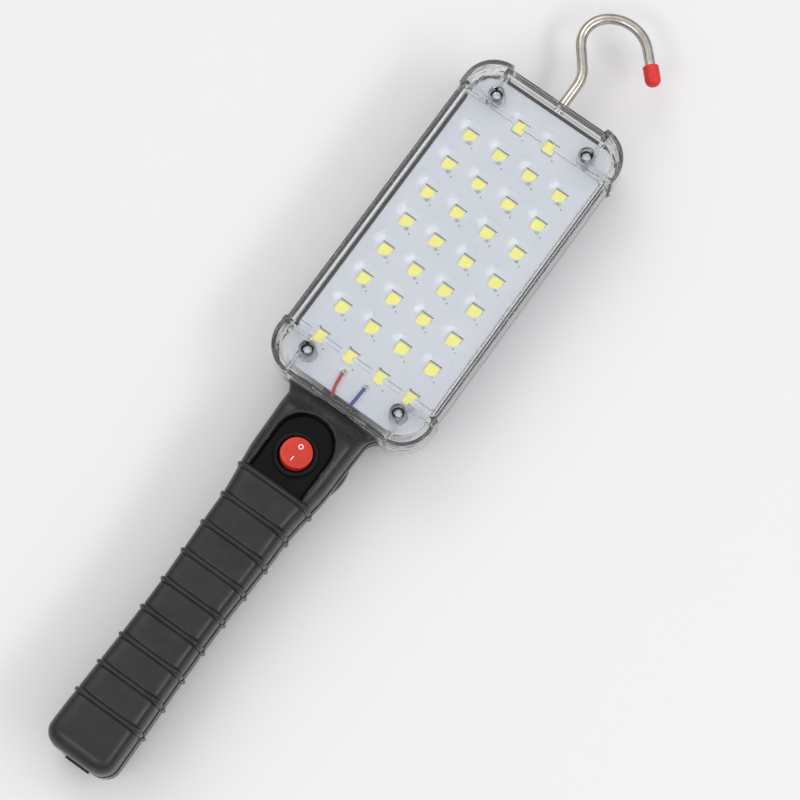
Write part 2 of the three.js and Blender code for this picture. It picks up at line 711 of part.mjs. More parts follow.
function magnetRing() {
  const { y, ring, bore, thickness } = MAGNET;
  return upright(ring, 0, y, 0, thickness, 32).subtract(upright(bore, 0, y, -1, thickness + 1, 16));
}

function magnetScrew() {
  const low = MAGNET.thickness + GAP - SCREW.headHeight - GAP;
  const head = upright(SCREW.head, 0, MAGNET.y, low, low + SCREW.headHeight, 12);
  return head.add(upright(SCREW.shank, 0, MAGNET.y, low + 0.5, MAGNET.bossTop - 0.2, 10));
}

add("magnet_cup", magnetCup(), blackPlastic);
add("magnet_ring", magnetRing(), ferrite);
add("magnet_screw", magnetScrew(), steel);

// ---------- battery and charger ----------

const cellFar = CELL.near - CELL.length;
add("battery_cell", lengthwise(CELL.radius, 0, CELL.height, cellFar, CELL.near, 20), cellWrap);

function batteryTab(face, outwards) {
  const near = face + outwards * GAP;
  const far = face + outwards * (GAP + 0.4);
  return box(-3, 3, Math.min(near, far), Math.max(near, far), CELL.height - 4, CELL.height + 8);
}

add("battery_tab_positive", batteryTab(CELL.near, 1), steel);
add("battery_tab_negative", batteryTab(cellFar, -1), steel);

function chargeBoard() {
  const { halfWidth, near, far, bottom, thickness } = CHARGER;
  return box(-halfWidth, halfWidth, far, near, bottom, bottom + thickness);
}

function usbSocket() {
  const low = CHARGER.bottom + CHARGER.thickness + GAP;
  const face = HANDLE.end + HANDLE.wall + 1;
  const { width, depth, height, mouthWidth, mouthHeight } = SOCKET;
  const shell = box(-width / 2, width / 2, face, face + depth, low, low + height);
  const middle = low + height / 2;
  const half = mouthWidth / 2;
  return shell.subtract(
    box(-half, half, face - 1, face + depth - 1, middle - mouthHeight / 2, middle + mouthHeight / 2),
  );
}

add("charge_board", chargeBoard(), circuitGreen);
add("usb_socket", usbSocket(), steel);

// ---------- wiring ----------

// A block in the head's doorway, with a shelf up to the board's edge and a slot for each wire.
function cableGrommet() {
  const { halfWidth, flange, bodyHalfWidth, far, shelfLow, shelfHigh } = GROMMET;
  const low = SPIGOT.bottom + SPIGOT.wall + GAP;
  const high = SPIGOT.top - SPIGOT.wall - GAP;
  const lipFace = INSIDE.near + flange;
  const shelfEdge = BOARD.near - GAP;
  let grommet = union([
    box(-bodyHalfWidth, bodyHalfWidth, far, lipFace, low, high),
    box(-halfWidth, halfWidth, INSIDE.near + GAP, lipFace, low - 1.8, shelfHigh),
    box(-halfWidth, halfWidth, lipFace - 0.5, shelfEdge, shelfLow, shelfHigh),
  ]);
  const room = WIRE_RADIUS + GAP;
  for (const x of [-WIRE_X, WIRE_X]) {
    const hole = lengthwise(WIRE_RADIUS + 2 * GAP, x, WIRE_HEIGHT, far - 1, lipFace + 1, 10);
    const slot = box(x - room, x + room, INSIDE.near, shelfEdge - 0.5, WIRE_HEIGHT, shelfHigh + 1);
    grommet = grommet.subtract(hole).subtract(slot);
  }
  return grommet;
}

const at = (x, y, z) => new THREE.Vector3(x, y, z);

// From a pad on the LED board, over its edge and through the grommet into the handle.
function throughTheNeck(padX, side) {
  const onBoard = BOARD.top + WIRE_RADIUS + GAP;
  const x = side * WIRE_X;
  return [
    at(padX, -65.1, onBoard),
    at(padX + (x - padX) * 0.4, -70.5, onBoard + 0.5),
    at(x, BOARD.near - 0.6, onBoard + 0.1),
    at(x, BOARD.near - 1.9, 20.2),
    at(x, BOARD.near - 2.1, 17.5),
    at(x, BOARD.near - 2.5, 15.3),
    at(x, BOARD.near - 3.6, WIRE_HEIGHT + 0.2),
    at(x, BOARD.near - 5, WIRE_HEIGHT),
    at(x, -84, WIRE_HEIGHT),
  ];
}

const bladeY = (side) => SWITCH.y + side * BLADE.spread;
const bladeFace = BLADE.width / 2 + WIRE_RADIUS + GAP;
const overCell = CELL.height + CELL.radius + 2;
const overCharger = CHARGER.bottom + CHARGER.thickness + WIRE_RADIUS + GAP;

// From above the cell's far end down onto the charge board.
function downToCharger(x, padX) {
  return [
    at(x, -186, overCell),
    at(x * 0.94, -194, overCell - 1.4),
    at(x * 0.8, -201, 15),
    at(padX, CHARGER.near - 3, overCharger),
  ];
}

const wires = [
  [
    "wire_red_lamp",
    redVinyl,
    [...throughTheNeck(-5.9, -1), at(-5.5, -93, 13.4), at(-bladeFace, bladeY(1), 12.8)],
  ],
  [
    "wire_blue_lamp",
    blueVinyl,
    [
      ...throughTheNeck(4.8, 1),
      at(8.6, -94, WIRE_HEIGHT),
      at(10.4, SWITCH.y, WIRE_HEIGHT),
      at(7.8, -115, 16),
      at(7.5, -132, overCell),
      ...downToCharger(7, 5),
    ],
  ],
  [
    "wire_red_supply",
    redVinyl,
    [
      at(-bladeFace, bladeY(-1), 12.8),
      at(-7.4, -114, 16),
      at(-7.5, -132, overCell),
      ...downToCharger(-7, -5),
    ],
  ],
  [
    "battery_lead_positive",
    redVinyl,
    [
      at(0, CELL.near + 2, CELL.height + 7),
      at(0, CELL.near, overCell),
      at(0, -150, overCell),
      ...downToCharger(0, 0),
    ],
  ],
  [
    "battery_lead_negative",
    blackVinyl,
    [
      at(3, cellFar - 1.8, CELL.height + 2),
      at(4, cellFar - 6, CELL.height - 1),
      at(2.6, CHARGER.near - 3, overCharger),
    ],
  ],
];

add("cable_grommet", cableGrommet(), rubber);
for (const [name, material, points] of wires) {
  const steps = 5 * points.length;
  add(name, tube(points, WIRE_RADIUS, steps, 6), material);
}

// The origin is under the middle of the overall length.
const reach = new THREE.Box3().setFromObject(assembly);
assembly.position.y = -(reach.min.y + reach.max.y) / 2;

export default light;
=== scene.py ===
"""The look of the LED work light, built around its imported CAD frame.

Shapes are worked out in millimetres from the centre of the LED array (x across, y towards the
hook, z up from the floor) and written to Blender in metres in the frame's own axes.
"""
import json
import math

import bmesh
import bpy
from mathutils import Matrix, Vector


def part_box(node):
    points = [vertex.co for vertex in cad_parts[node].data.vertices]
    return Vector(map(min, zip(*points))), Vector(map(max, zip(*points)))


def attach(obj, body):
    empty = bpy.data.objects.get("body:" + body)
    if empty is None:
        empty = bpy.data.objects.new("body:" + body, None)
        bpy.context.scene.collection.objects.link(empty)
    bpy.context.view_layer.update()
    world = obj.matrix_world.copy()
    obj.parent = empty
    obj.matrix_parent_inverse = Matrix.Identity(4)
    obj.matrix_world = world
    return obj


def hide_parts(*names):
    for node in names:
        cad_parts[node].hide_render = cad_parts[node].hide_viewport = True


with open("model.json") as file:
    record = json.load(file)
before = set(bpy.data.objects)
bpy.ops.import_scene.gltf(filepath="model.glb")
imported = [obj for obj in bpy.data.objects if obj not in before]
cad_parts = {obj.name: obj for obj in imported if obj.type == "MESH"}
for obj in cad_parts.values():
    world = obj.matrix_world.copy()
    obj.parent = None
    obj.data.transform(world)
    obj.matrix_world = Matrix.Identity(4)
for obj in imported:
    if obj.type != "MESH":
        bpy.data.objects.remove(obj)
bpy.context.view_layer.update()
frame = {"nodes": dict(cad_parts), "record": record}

MM = 0.001


def centre(node):
    low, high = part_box(node)
    return (low + high) / 2


ARRAY_Y = (centre("led_row_1").y + centre("led_row_9").y) / 2


def local_box(node):
    """Lowest and highest corner of a CAD node, in millimetres from the array's centre."""
    shift = Vector((0, ARRAY_Y, 0))
    low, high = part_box(node)
    return (low - shift) / MM, (high - shift) / MM


def middle_of(node):
    low, high = local_box(node)
    return (low + high) / 2


# ---------- materials ----------

# The part of the noise's range over which a colour or a gloss drifts.
NOISE_SPAN = (0.3, 0.7)


def fill(node, **values):
    """Sets inputs of a shader node, whose names have _ for a space."""
    for socket, value in values.items():
        node.inputs[socket.replace("_", " ")].default_value = value
    return node


def new_node(material, kind, **values):
    return fill(material.node_tree.nodes.new(f"ShaderNode{kind}"), **values)


def surface(name, color, roughness, metallic=0.0, **sockets):
    """A Principled material, and its shader node for the texture functions below."""
    material = bpy.data.materials.new(name)
    material.use_nodes = True
    shader = material.node_tree.nodes["Principled BSDF"]
    fill(shader, Base_Color=(*color, 1), Roughness=roughness, Metallic=metallic, **sockets)
    return material, shader


def noise(material, scale, detail=4.0, stretch=(1, 1, 1)):
    """A noise texture fixed to the object, with scale in waves per metre."""
    links = material.node_tree.links
    place = new_node(material, "TexCoord")
    mapping = new_node(material, "Mapping", Scale=stretch)
    texture = new_node(material, "TexNoise", Scale=scale, Detail=detail)
    links.new(place.outputs["Object"], mapping.inputs["Vector"])
    links.new(mapping.outputs["Vector"], texture.inputs["Vector"])
    return texture.outputs["Fac"]


def shades(material, shader, dark, light, scale):
    """Lets the base colour drift between two shades."""
    links = material.node_tree.links
    ramp = new_node(material, "ValToRGB")
    for stop, position, color in zip(ramp.color_ramp.elements, NOISE_SPAN, (dark, light)):
        stop.position = position
        stop.color = (*color, 1)
    links.new(noise(material, scale), ramp.inputs["Fac"])
    links.new(ramp.outputs["Color"], shader.inputs["Base Color"])


def uneven_gloss(material, shader, low, high, scale, stretch=(1, 1, 1)):
    """Lets the roughness drift between two values."""
    links = material.node_tree.links
    span = new_node(
        material, "MapRange", From_Min=NOISE_SPAN[0], From_Max=NOISE_SPAN[1], To_Min=low, To_Max=high
    )
    links.new(noise(material, scale, stretch=stretch), span.inputs["Value"])
    links.new(span.outputs["Result"], shader.inputs["Roughness"])


def grain(material, shader, scale, depth, stretch=(1, 1, 1)):
    """Fine relief, with depth in metres."""
    links = material.node_tree.links
    bump = new_node(material, "Bump", Strength=1.0, Distance=depth)
    links.new(noise(material, scale, detail=2.0, stretch=stretch), bump.inputs["Height"])
    links.new(bump.outputs["Normal"], shader.inputs["Normal"])


def textured(name, shade, gloss, relief=None, metallic=0.0, **sockets):
    """A material with drifting shade and gloss, and with fine relief if it is given.

    shade is (dark, light, noise scale), gloss (low, high, noise scale) and relief (noise scale,
    depth); gloss and relief may end with a stretch of their noise."""
    dark, light, scale = shade
    middle = [(a + b) / 2 for a, b in zip(dark, light)]
    material, shader = surface(name, middle, (gloss[0] + gloss[1]) / 2, metallic, **sockets)
    shades(material, shader, dark, light, scale)
    uneven_gloss(material, shader, *gloss)
    if relief:
        grain(material, shader, *relief)
    return material


def clear_plastic(name="clear_polycarbonate", gloss=(0.015, 0.05, 60), relief=(45, 0.00002)):
    material, shader = surface(name, (0.997, 0.999, 1.0), 0.03, IOR=1.58, Transmission_Weight=1.0)
    uneven_gloss(material, shader, *gloss)
    grain(material, shader, *relief)
    return material


def rippled_plastic():
    """The clear plastic of the corners, whose moulding left a wavy surface."""
    return clear_plastic("clear_polycarbonate_rippled", (0.015, 0.06, 120), (260, 0.00035))


def black_plastic():
    shade = ((0.024, 0.024, 0.025), (0.034, 0.034, 0.035), 120)
    return textured("black_abs", shade, (0.25, 0.36, 300), (5000, 0.00001), Specular_IOR_Level=0.32)


def recess_painted_shade():
    """The handle's plastic where it lies deep round the switch, painted far darker than the rest of the
    shell as shade in the recess.
    """
    shade = ((0.003, 0.003, 0.003), (0.005, 0.005, 0.005), 150)
    return textured("black_abs_painted_shade", shade, (0.24, 0.36, 400), Specular_IOR_Level=0.13)


def solder_mask():
    """White board paint; its faint glow stands in for the light that the cover gathers on it."""
    return textured(
        "white_solder_mask", ((0.85, 0.89, 0.97), (0.91, 0.94, 0.99), 40), (0.25, 0.4, 200),
        (2500, 0.000006), Emission_Color=(0.74, 0.86, 1.0, 1), Emission_Strength=0.14,
    )


def led_package():
    return textured("led_package_white", ((0.78, 0.79, 0.8), (0.86, 0.87, 0.88), 900), (0.3, 0.45, 900))


def phosphor():
    """Yellow resin; its glow stands in for the light that its lens gathers on it."""
    return textured(
        "phosphor_yellow", ((0.9, 0.87, 0.16), (0.94, 0.92, 0.26), 1500), (0.2, 0.4, 1200),
        (6000, 0.00001), Emission_Color=(1.0, 0.97, 0.3, 1), Emission_Strength=0.36,
    )


def nickel():
    return textured(
        "nickel_plate", ((0.5, 0.465, 0.42), (0.68, 0.64, 0.58), 260), (0.14, 0.32, 500, (1, 0.15, 1)),
        (2200, 0.000008, (1, 0.2, 1)), metallic=1.0, Specular_Tint=(0.12, 0.1, 0.08, 1),
    )


def zinc():
    shade = ((0.72, 0.72, 0.74), (0.88, 0.88, 0.89), 700)
    return textured("zinc_plate", shade, (0.18, 0.34, 900), metallic=1.0)


def red_rocker():
    shade = ((0.59, 0.028, 0.016), (0.69, 0.044, 0.025), 220)
    return textured("rocker_red", shade, (0.2, 0.34, 500), Specular_IOR_Level=0.45)


def vinyl(name, dark, light):
    return textured(name, (dark, light, 300), (0.36, 0.55, 500), (1800, 0.00001))


def solder():
    shade = ((0.52, 0.53, 0.55), (0.7, 0.71, 0.73), 1200)
    return textured("solder_tin", shade, (0.22, 0.42, 1500), metallic=1.0)


def brown_gap():
    """Dark brown for the thin line along each LED's hook side and for the hole beside it."""
    material, shader = surface("gap_brown", (0.1, 0.06, 0.05), 0.6)
    shades(material, shader, (0.07, 0.04, 0.035), (0.13, 0.085, 0.07), 1500)
    return material


def mark_white():
    material, shader = surface("mark_white", (0.86, 0.85, 0.84), 0.35)
    shades(material, shader, (0.8, 0.79, 0.78), (0.9, 0.89, 0.88), 2500)
    return material


def glossy_black():
    shade = ((0.004, 0.004, 0.005), (0.007, 0.007, 0.008), 300)
    return textured("black_switch_nylon", shade, (0.28, 0.4, 500), Specular_IOR_Level=0.16)


def brass():
    shade = ((0.66, 0.48, 0.22), (0.8, 0.62, 0.33), 500)
    return textured("brass", shade, (0.25, 0.4, 700), metallic=1.0)


def rubber():
    shade = ((0.014, 0.014, 0.015), (0.024, 0.024, 0.025), 300)
    return textured("rubber_black", shade, (0.6, 0.8, 400), (3000, 0.00002))


def magnet_metal():
    shade = ((0.36, 0.36, 0.37), (0.48, 0.48, 0.49), 180)
    return textured("magnet_nickel", shade, (0.2, 0.38, 400), (1600, 0.000008), metallic=1.0)


def cell_wrap():
    shade = ((0.025, 0.13, 0.44), (0.04, 0.18, 0.55), 90)
    return textured("cell_wrap_blue", shade, (0.2, 0.34, 300), (500, 0.00003))


def circuit_green():
    return textured("circuit_green", ((0.012, 0.13, 0.05), (0.02, 0.2, 0.08), 600), (0.3, 0.45, 500))


FINISH_OF_SLOT = {
    "clear_plastic": clear_plastic(),
    "black_plastic": black_plastic(),
    "board": solder_mask(),
    "led": phosphor(),
    "steel": nickel(),
    "red_rocker": red_rocker(),
    "red_vinyl": vinyl("vinyl_red", (0.66, 0.022, 0.018), (0.76, 0.034, 0.026)),
    "blue_vinyl": vinyl("vinyl_blue", (0.04, 0.06, 0.35), (0.06, 0.09, 0.45)),
    "black_vinyl": vinyl("vinyl_black", (0.015, 0.015, 0.016), (0.024, 0.024, 0.026)),
    "brass": brass(),
    "rubber": rubber(),
    "ferrite": magnet_metal(),
    "cell_wrap": cell_wrap(),
    "circuit_board": circuit_green(),
}
SOLDER = solder()


def finish_cad_nodes():
    """Gives every CAD node the finish of its slot in the record."""
    for entry in frame["record"]["subparts"]:
        node = frame["nodes"][entry["node"]]
        node.data.materials.clear()
        node.data.materials.append(FINISH_OF_SLOT[entry["material_slot"]])


# ---------- shapes, in millimetres from the array's centre ----------

TO_FRAME = Matrix.Translation((0, ARRAY_Y, 0)) @ Matrix.Scale(MM, 4)
# Radius of the tiny caps that close a turned shape at its axis.
AXIS_CAP = 0.05


def stack(rings):
    """A closed solid through rings with the same number of points, capped at both ends."""
    shape = bmesh.new()
    rows = [[shape.verts.new(point) for point in ring] for ring in rings]
    count = len(rows[0])
    for below, above in zip(rows, rows[1:]):
        for i in range(count):
            j = (i + 1) % count
            shape.faces.new((below[i], below[j], above[j], above[i]))
    shape.faces.new(rows[0][::-1])
    shape.faces.new(rows[-1])
    return shape


def moved(shape, x, y, z):
    bmesh.ops.translate(shape, verts=shape.verts, vec=(x, y, z))
    return shape


def rotated(shape, degrees, axis):
    turn = Matrix.Rotation(math.radians(degrees), 3, axis)
    bmesh.ops.rotate(shape, verts=shape.verts, matrix=turn)
    return shape


def full_turn(steps):
    """The angles of a circle in equal steps."""
    return [2 * math.pi * i / steps for i in range(steps)]


def circle(radius, steps):
    return [(radius * math.cos(t), radius * math.sin(t)) for t in full_turn(steps)]


def lathe(profile, middle=(0, 0, 0), sides=32):
    """A closed solid turned about an upright axis through middle.

    The profile is a list of (radius, height) whose first and last points are the caps."""
    rings = [[(x, y, height) for x, y in circle(radius, sides)] for radius, height in profile]
    return moved(stack(rings), *middle)


def block(*spans):
    """A block between two x, two y and two z, each pair in either order."""
    shape = bmesh.new()
    bmesh.ops.create_cube(shape, size=1)
    low, high = [min(span) for span in spans], [max(span) for span in spans]
    for vertex in shape.verts:
        vertex.co = Vector(a + (b - a) * (c + 0.5) for a, b, c in zip(low, high, vertex.co))
    return shape


def as_mesh(shape, name):
    data = bpy.data.meshes.new(name)
    shape.to_mesh(data)
    shape.free()
    return data


def in_scene(name, data):
    """A new object of the scene."""
    thing = bpy.data.objects.new(name, data)
    bpy.context.scene.collection.objects.link(thing)
    return thing


def joined(shapes):
    """Several bmeshes as one, without joining their surfaces."""
    whole = bmesh.new()
    for shape in shapes:
        data = as_mesh(shape, "part")
        whole.from_mesh(data)
        bpy.data.meshes.remove(data)
    return whole


def as_tool(shape):
    bmesh.ops.recalc_face_normals(shape, faces=shape.faces)
    return in_scene("tool", as_mesh(shape, "tool"))


def plus(shape):
    return "UNION", shape


def minus(shape):
    return "DIFFERENCE", shape


def within(shape):
    return "INTERSECT", shape


def combined(base, *steps):
    """base after each step: plus or minus a closed shape, or only what lies within it."""
    target = as_tool(base)
    tools = []
    for operation, shape in steps:
        tool = as_tool(shape)
        tools.append(tool)
        step = target.modifiers.new("step", "BOOLEAN")
        step.operation = operation
        step.solver = "MANIFOLD"
        step.object = tool
    bpy.context.view_layer.update()
    depsgraph = bpy.context.evaluated_depsgraph_get()
    data = bpy.data.meshes.new_from_object(target.evaluated_get(depsgraph))
    result = bmesh.new()
    result.from_mesh(data)
    bpy.data.meshes.remove(data)
    for used in [target, *tools]:
        mesh = used.data
        bpy.data.objects.remove(used)
        bpy.data.meshes.remove(mesh)
    return result


def piece(name, shape, slot, nodes=(), finishes=(), body="housing", crease=35, even=True):
    """Makes a shape a named piece that rides on a body and stands for the CAD nodes given.

    It has its slot's finish unless others are given; crease is the angle of its sharp edges."""
    bmesh.ops.transform(shape, matrix=TO_FRAME, verts=shape.verts)
    data = as_mesh(shape, name)
    data.shade_smooth()
    data.set_sharp_from_angle(angle=math.radians(crease))
    for finish in finishes or [FINISH_OF_SLOT[slot]]:
        data.materials.append(finish)
    thing = in_scene(name, data)
    if even:
        thing.modifiers.new("even_shading", "WEIGHTED_NORMAL").keep_sharp = True
    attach(thing, body)
    if nodes:
        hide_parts(*nodes)


def arc(middle, radius, start, end, steps):
    """Points on an arc in the plane of the head, angles in degrees."""
    angles = [math.radians(start + (end - start) * i / steps) for i in range(steps + 1)]
    return [(middle[0] + radius * math.cos(a), middle[1] + radius * math.sin(a)) for a in angles]


def rounded_outline(half, near, far, corner, steps=12, right=(), end=()):
    """The points of a rectangle with round corners, counter-clockwise.

    right and end are more points on the right side, which the left mirrors, and on the far end."""
    inner = half - corner
    return [
        *arc((inner, near + corner), corner, -90, 0, steps),
        *right,
        *arc((inner, far - corner), corner, 0, 90, steps),
        *end,
        *arc((-inner, far - corner), corner, 90, 180, steps),
        *[(-x, y) for x, y in reversed(right)],
        *arc((-inner, near + corner), corner, 180, 270, steps),
    ]


def plates(profile, half, near, far, corner, steps=12):
    """A solid through rectangles with round corners, one for each (inset, height)."""
    rings = []
    for inset, z in profile:
        outline = rounded_outline(half - inset, near + inset, far - inset, corner - inset, steps)
        rings.append([(x, y, z) for x, y in outline])
    return stack(rings)


def slab(half, near, far, corner, low, high, edge=0.0, steps=12):
    """A plate with round corners, and with its upper edge rounded if edge is given."""
    top = quarter((0, high - edge), (edge, high)) if edge else [(0, high)]
    return plates([(0, low), *top], half, near, far, corner, steps)


def quarter(start, end, steps=5):
    """(inset, height) points of a rounded edge that leaves start upright and reaches end level."""
    points = []
    for i in range(steps + 1):
        turn = math.radians(90 * i / steps)
        points.append((
            start[0] + (end[0] - start[0]) * (1 - math.cos(turn)),
            start[1] + (end[1] - start[1]) * math.sin(turn),
        ))
    return points


# ---------- clear head ----------

COVER_LOW, COVER_HIGH = local_box("front_cover")
TRAY_LOW, TRAY_HIGH = local_box("head_rear_shell")
BOARD_LOW, BOARD_HIGH = local_box("led_board")

HEAD_HALF = COVER_HIGH.x
HEAD_NEAR = COVER_LOW.y
HEAD_FAR = COVER_HIGH.y
HEAD_CORNER = 14.2
WALL = 2.0
LENS_RISE = 1.2
LENS_RADIUS = 5.35
PANEL_TOP = COVER_HIGH.z - LENS_RISE
END_STEP = 1.0
END_TOP = PANEL_TOP - END_STEP
STEP_NEAR = HEAD_NEAR + 18.7
STEP_FAR = HEAD_FAR - 17.9
SIDE_RECESS = 1.0
END_RECESS = 1.7
RECESS_EASE = 0.7
POCKET_X = HEAD_HALF - 13.2
POCKET_WALL = 1.4
BOARD_TOP = BOARD_HIGH.z
COLUMN_RADIUS = 3.5
COUNTERBORE = 2.7
COUNTERBORE_FLOOR = 24.0
SHANK_HOLE = 1.55
TRAY_EDGE = {"in": 4, "up": 7}
SPIGOT = {"half": 13, "low": 9.5, "high": 18.6, "length": 8}
HOOK_HEIGHT = 13.3
BEARING = {"radius": 4.4, "length": 5.5, "bore": 2.3}
# Half-width, ends and corner radius of the space inside the head's walls.
INNER_PLAN = (
    HEAD_HALF - WALL - SIDE_RECESS, HEAD_NEAR + WALL, HEAD_FAR - WALL - END_RECESS, HEAD_CORNER - WALL,
)

LED_PITCH = 14.5
LED_COLUMNS = 4
LED_ROWS = 9


def screw_spots(kind="cover_screw"):
    """Places of the four screws of a kind, seen from above."""
    return [middle_of(f"{kind}_{i}").xy for i in range(1, 5)]


def led_spots(row):
    """Places of the LEDs in a row counted from the handle; the last row has only the middle two."""
    y = (row - (LED_ROWS - 1) / 2) * LED_PITCH
    skip = 1 if row == LED_ROWS - 1 else 0
    columns = range(skip, LED_COLUMNS - skip)
    return [((column - (LED_COLUMNS - 1) / 2) * LED_PITCH, y) for column in columns]


def head_outline(inset):
    """The head's outline, with the long walls and the hook end set in between the corners."""
    half, far = HEAD_HALF - inset, HEAD_FAR - inset
    flank = half - SIDE_RECESS
    cross = HEAD_HALF - HEAD_CORNER - RECESS_EASE
    right = [
        (half, STEP_NEAR),
        (flank, STEP_NEAR + RECESS_EASE),
        (flank, STEP_FAR - RECESS_EASE),
        (half, STEP_FAR),
    ]
    end = [(cross, far - END_RECESS), (-cross, far - END_RECESS)]
    return rounded_outline(half, HEAD_NEAR + inset, far, HEAD_CORNER - inset, 14, right, end)


def head_solid(profile):
    """A solid through the head's outline at each (inset, height) of the profile."""
    return stack([[(x, y, z) for x, y in head_outline(inset)] for inset, z in profile])


def tray_profile(low, high):
    """(inset, height) points from the tray's rounded lower edge upwards, outside or inside."""
    edge = quarter((0, low + TRAY_EDGE["up"]), (TRAY_EDGE["in"], low), 8)
    return [*reversed(edge), (0, high)]


def dome(x, y, base, sunk):
    """A shallow cap over one LED, reaching a little way into the panel below it."""
    ball = (LENS_RADIUS ** 2 + LENS_RISE ** 2) / (2 * LENS_RISE)
    edge = math.asin(LENS_RADIUS / ball)
    profile = [(0.01, -sunk), (LENS_RADIUS, -sunk)]
    for i in range(8):
        turn = edge * (1 - i / 7.2)
        profile.append((ball * math.sin(turn), ball * (math.cos(turn) - 1) + LENS_RISE))
    return lathe(profile, (x, y, base), sides=36)


def lenses(drop):
    """All 34 caps, lowered by drop from the panels' outer faces."""
    caps = []
    for row in range(LED_ROWS):
        for x, y in led_spots(row):
            inside = STEP_NEAR + LENS_RADIUS < y < STEP_FAR - LENS_RADIUS
            caps.append(dome(x, y, (PANEL_TOP if inside else END_TOP) - drop, 0.3))
    return joined(caps)


def corners():
    """For each corner: its side, the head's end, the middle panel's end and the way inwards."""
    ends = ((HEAD_NEAR, STEP_NEAR, 1), (HEAD_FAR, STEP_FAR, -1))
    return [(side, *end) for side in (-1, 1) for end in ends]


def corner_pockets():
    """The thin walls that box in each corner beside its screw column."""
    heights = (BOARD_TOP + 0.6, END_TOP - 0.4)
    walls = []
    for side, end, step, inward in corners():
        x = side * POCKET_X
        across = (x - POCKET_WALL / 2, x + POCKET_WALL / 2)
        walls.append(block(across, (end + inward * 1.2, step - inward * 0.3), heights))
    return joined(walls)


def corner_crosses():
    """The thin walls from each corner's pocket wall to the side of the head."""
    heights = (BOARD_TOP + 0.8, END_TOP - 0.6)
    walls = []
    for side, _, step, inward in corners():
        y = step - inward * POCKET_WALL
        across = (side * (POCKET_X + 0.2), side * (HEAD_HALF - WALL))
        walls.append(block(across, (y - POCKET_WALL / 2, y + POCKET_WALL / 2), heights))
    return joined(walls)


def corner_rooms(low, high):
    """The insides of the four corners, out to an outer wall a little thinner than the rest."""
    wall = WALL - 0.3
    rooms = []
    for side, end, step, inward in corners():
        across = (side * (POCKET_X + 0.8), side * (HEAD_HALF + 1))
        rooms.append(block(across, (end - inward, step - inward * 2.2), (low, high)))
    return combined(head_solid([(wall, low), (wall, high)]), within(joined(rooms)))


def in_corner(point):
    """Whether a point of the cover belongs to one of its four low corners."""
    beyond_step = point.y < STEP_NEAR - 0.5 or point.y > STEP_FAR + 0.5
    return beyond_step and abs(point.x) > POCKET_X - 1


def uprights(spots, radius, low, high, sides=32):
    """Round bars from one height to another."""
    return joined([lathe([(radius, low), (radius, high)], (x, y, 0), sides) for x, y in spots])


def upright(x, y, radius, low, high, sides=32):
    return uprights([(x, y)], radius, low, high, sides)


def middle_panel():
    """The raised panel over most of the LEDs."""
    return slab(
        HEAD_HALF - 1.9, STEP_NEAR, STEP_FAR, 2.2, END_TOP - 1.2, PANEL_TOP, edge=0.45, steps=6
    )


def space_under_panel():
    ceiling = PANEL_TOP - WALL
    return slab(
        HEAD_HALF - 4, STEP_NEAR + WALL, STEP_FAR - WALL, 1.5, END_TOP - WALL - 0.6, ceiling,
        edge=0.4, steps=5,
    )


def front_cover():
    rim = COVER_LOW.z + 0.6
    edge = 0.6
    ceiling = END_TOP - WALL
    spots = screw_spots()
    column_low = BOARD_TOP - 1.2
    cover = combined(
        head_solid([(0, rim), *quarter((0, END_TOP - edge), (edge, END_TOP))]),
        plus(middle_panel()),
        plus(lenses(0)),
        minus(slab(*INNER_PLAN, rim - 1, ceiling, edge=1.2)),
        minus(space_under_panel()),
        minus(lenses(WALL)),
        minus(corner_rooms(rim - 1, ceiling - 0.4)),
        plus(corner_pockets()),
        plus(corner_crosses()),
        plus(uprights(spots, COLUMN_RADIUS, column_low, END_TOP - 0.5)),
        minus(uprights(spots, COUNTERBORE, COUNTERBORE_FLOOR, COVER_HIGH.z + 1)),
        minus(uprights(spots, SHANK_HOLE, column_low - 1, COVER_HIGH.z, 20)),
    )
    for face in cover.faces:
        face.material_index = 1 if in_corner(face.calc_center_median()) else 0
    return cover


def round_the_hook(profile):
    """A round shape about the hook's shank, from (radius, y) points."""
    return moved(rotated(lathe(profile), -90, "X"), 0, 0, HOOK_HEIGHT)


def neck_block(margin, near, far):
    """A block as wide and as high as the spigot that enters the handle, plus a margin."""
    half = SPIGOT["half"] + margin
    return block((-half, half), (near, far), (SPIGOT["low"] - margin, SPIGOT["high"] + margin))


def rear_tray():
    low, high = TRAY_LOW.z, TRAY_HIGH.z
    floor = low + WALL
    post_top = BOARD_TOP - 1.5
    spots = screw_spots()
    wall_face = HEAD_FAR - END_RECESS
    inner, radius, bore = wall_face - BEARING["length"], BEARING["radius"], BEARING["bore"]
    return combined(
        head_solid(tray_profile(low, high)),
        minus(plates(tray_profile(floor, high + 1), *INNER_PLAN)),
        minus(corner_rooms(low + TRAY_EDGE["up"] + 0.5, high + 1)),
        plus(uprights(spots, COLUMN_RADIUS, floor - 0.5, post_top)),
        minus(uprights(spots, SHANK_HOLE, floor + 0.5, post_top + 1, 20)),
        plus(round_the_hook([(radius, inner), (radius, wall_face - 0.5)])),
        minus(round_the_hook([(bore, inner - 1), (bore, HEAD_FAR + 1)])),
        plus(neck_block(0, HEAD_NEAR - SPIGOT["length"], HEAD_NEAR + 1)),
        minus(neck_block(-WALL, HEAD_NEAR - SPIGOT["length"] - 1, HEAD_NEAR + WALL + 1)),
    )


# ---------- board and LEDs ----------

BOARD_CORNER = 10.5
LED_SIZE = 5.2
LED_HEIGHT = 0.85
PAD_END = LED_SIZE / 2 + 0.32
PRINT = 0.01
# Places of an LED's finishes in the list that add_leds gives; the last is the dark brown of the line
# and hole beside each LED.
PACKAGE, RESIN, STRIP, BROWN_MARK = range(4)


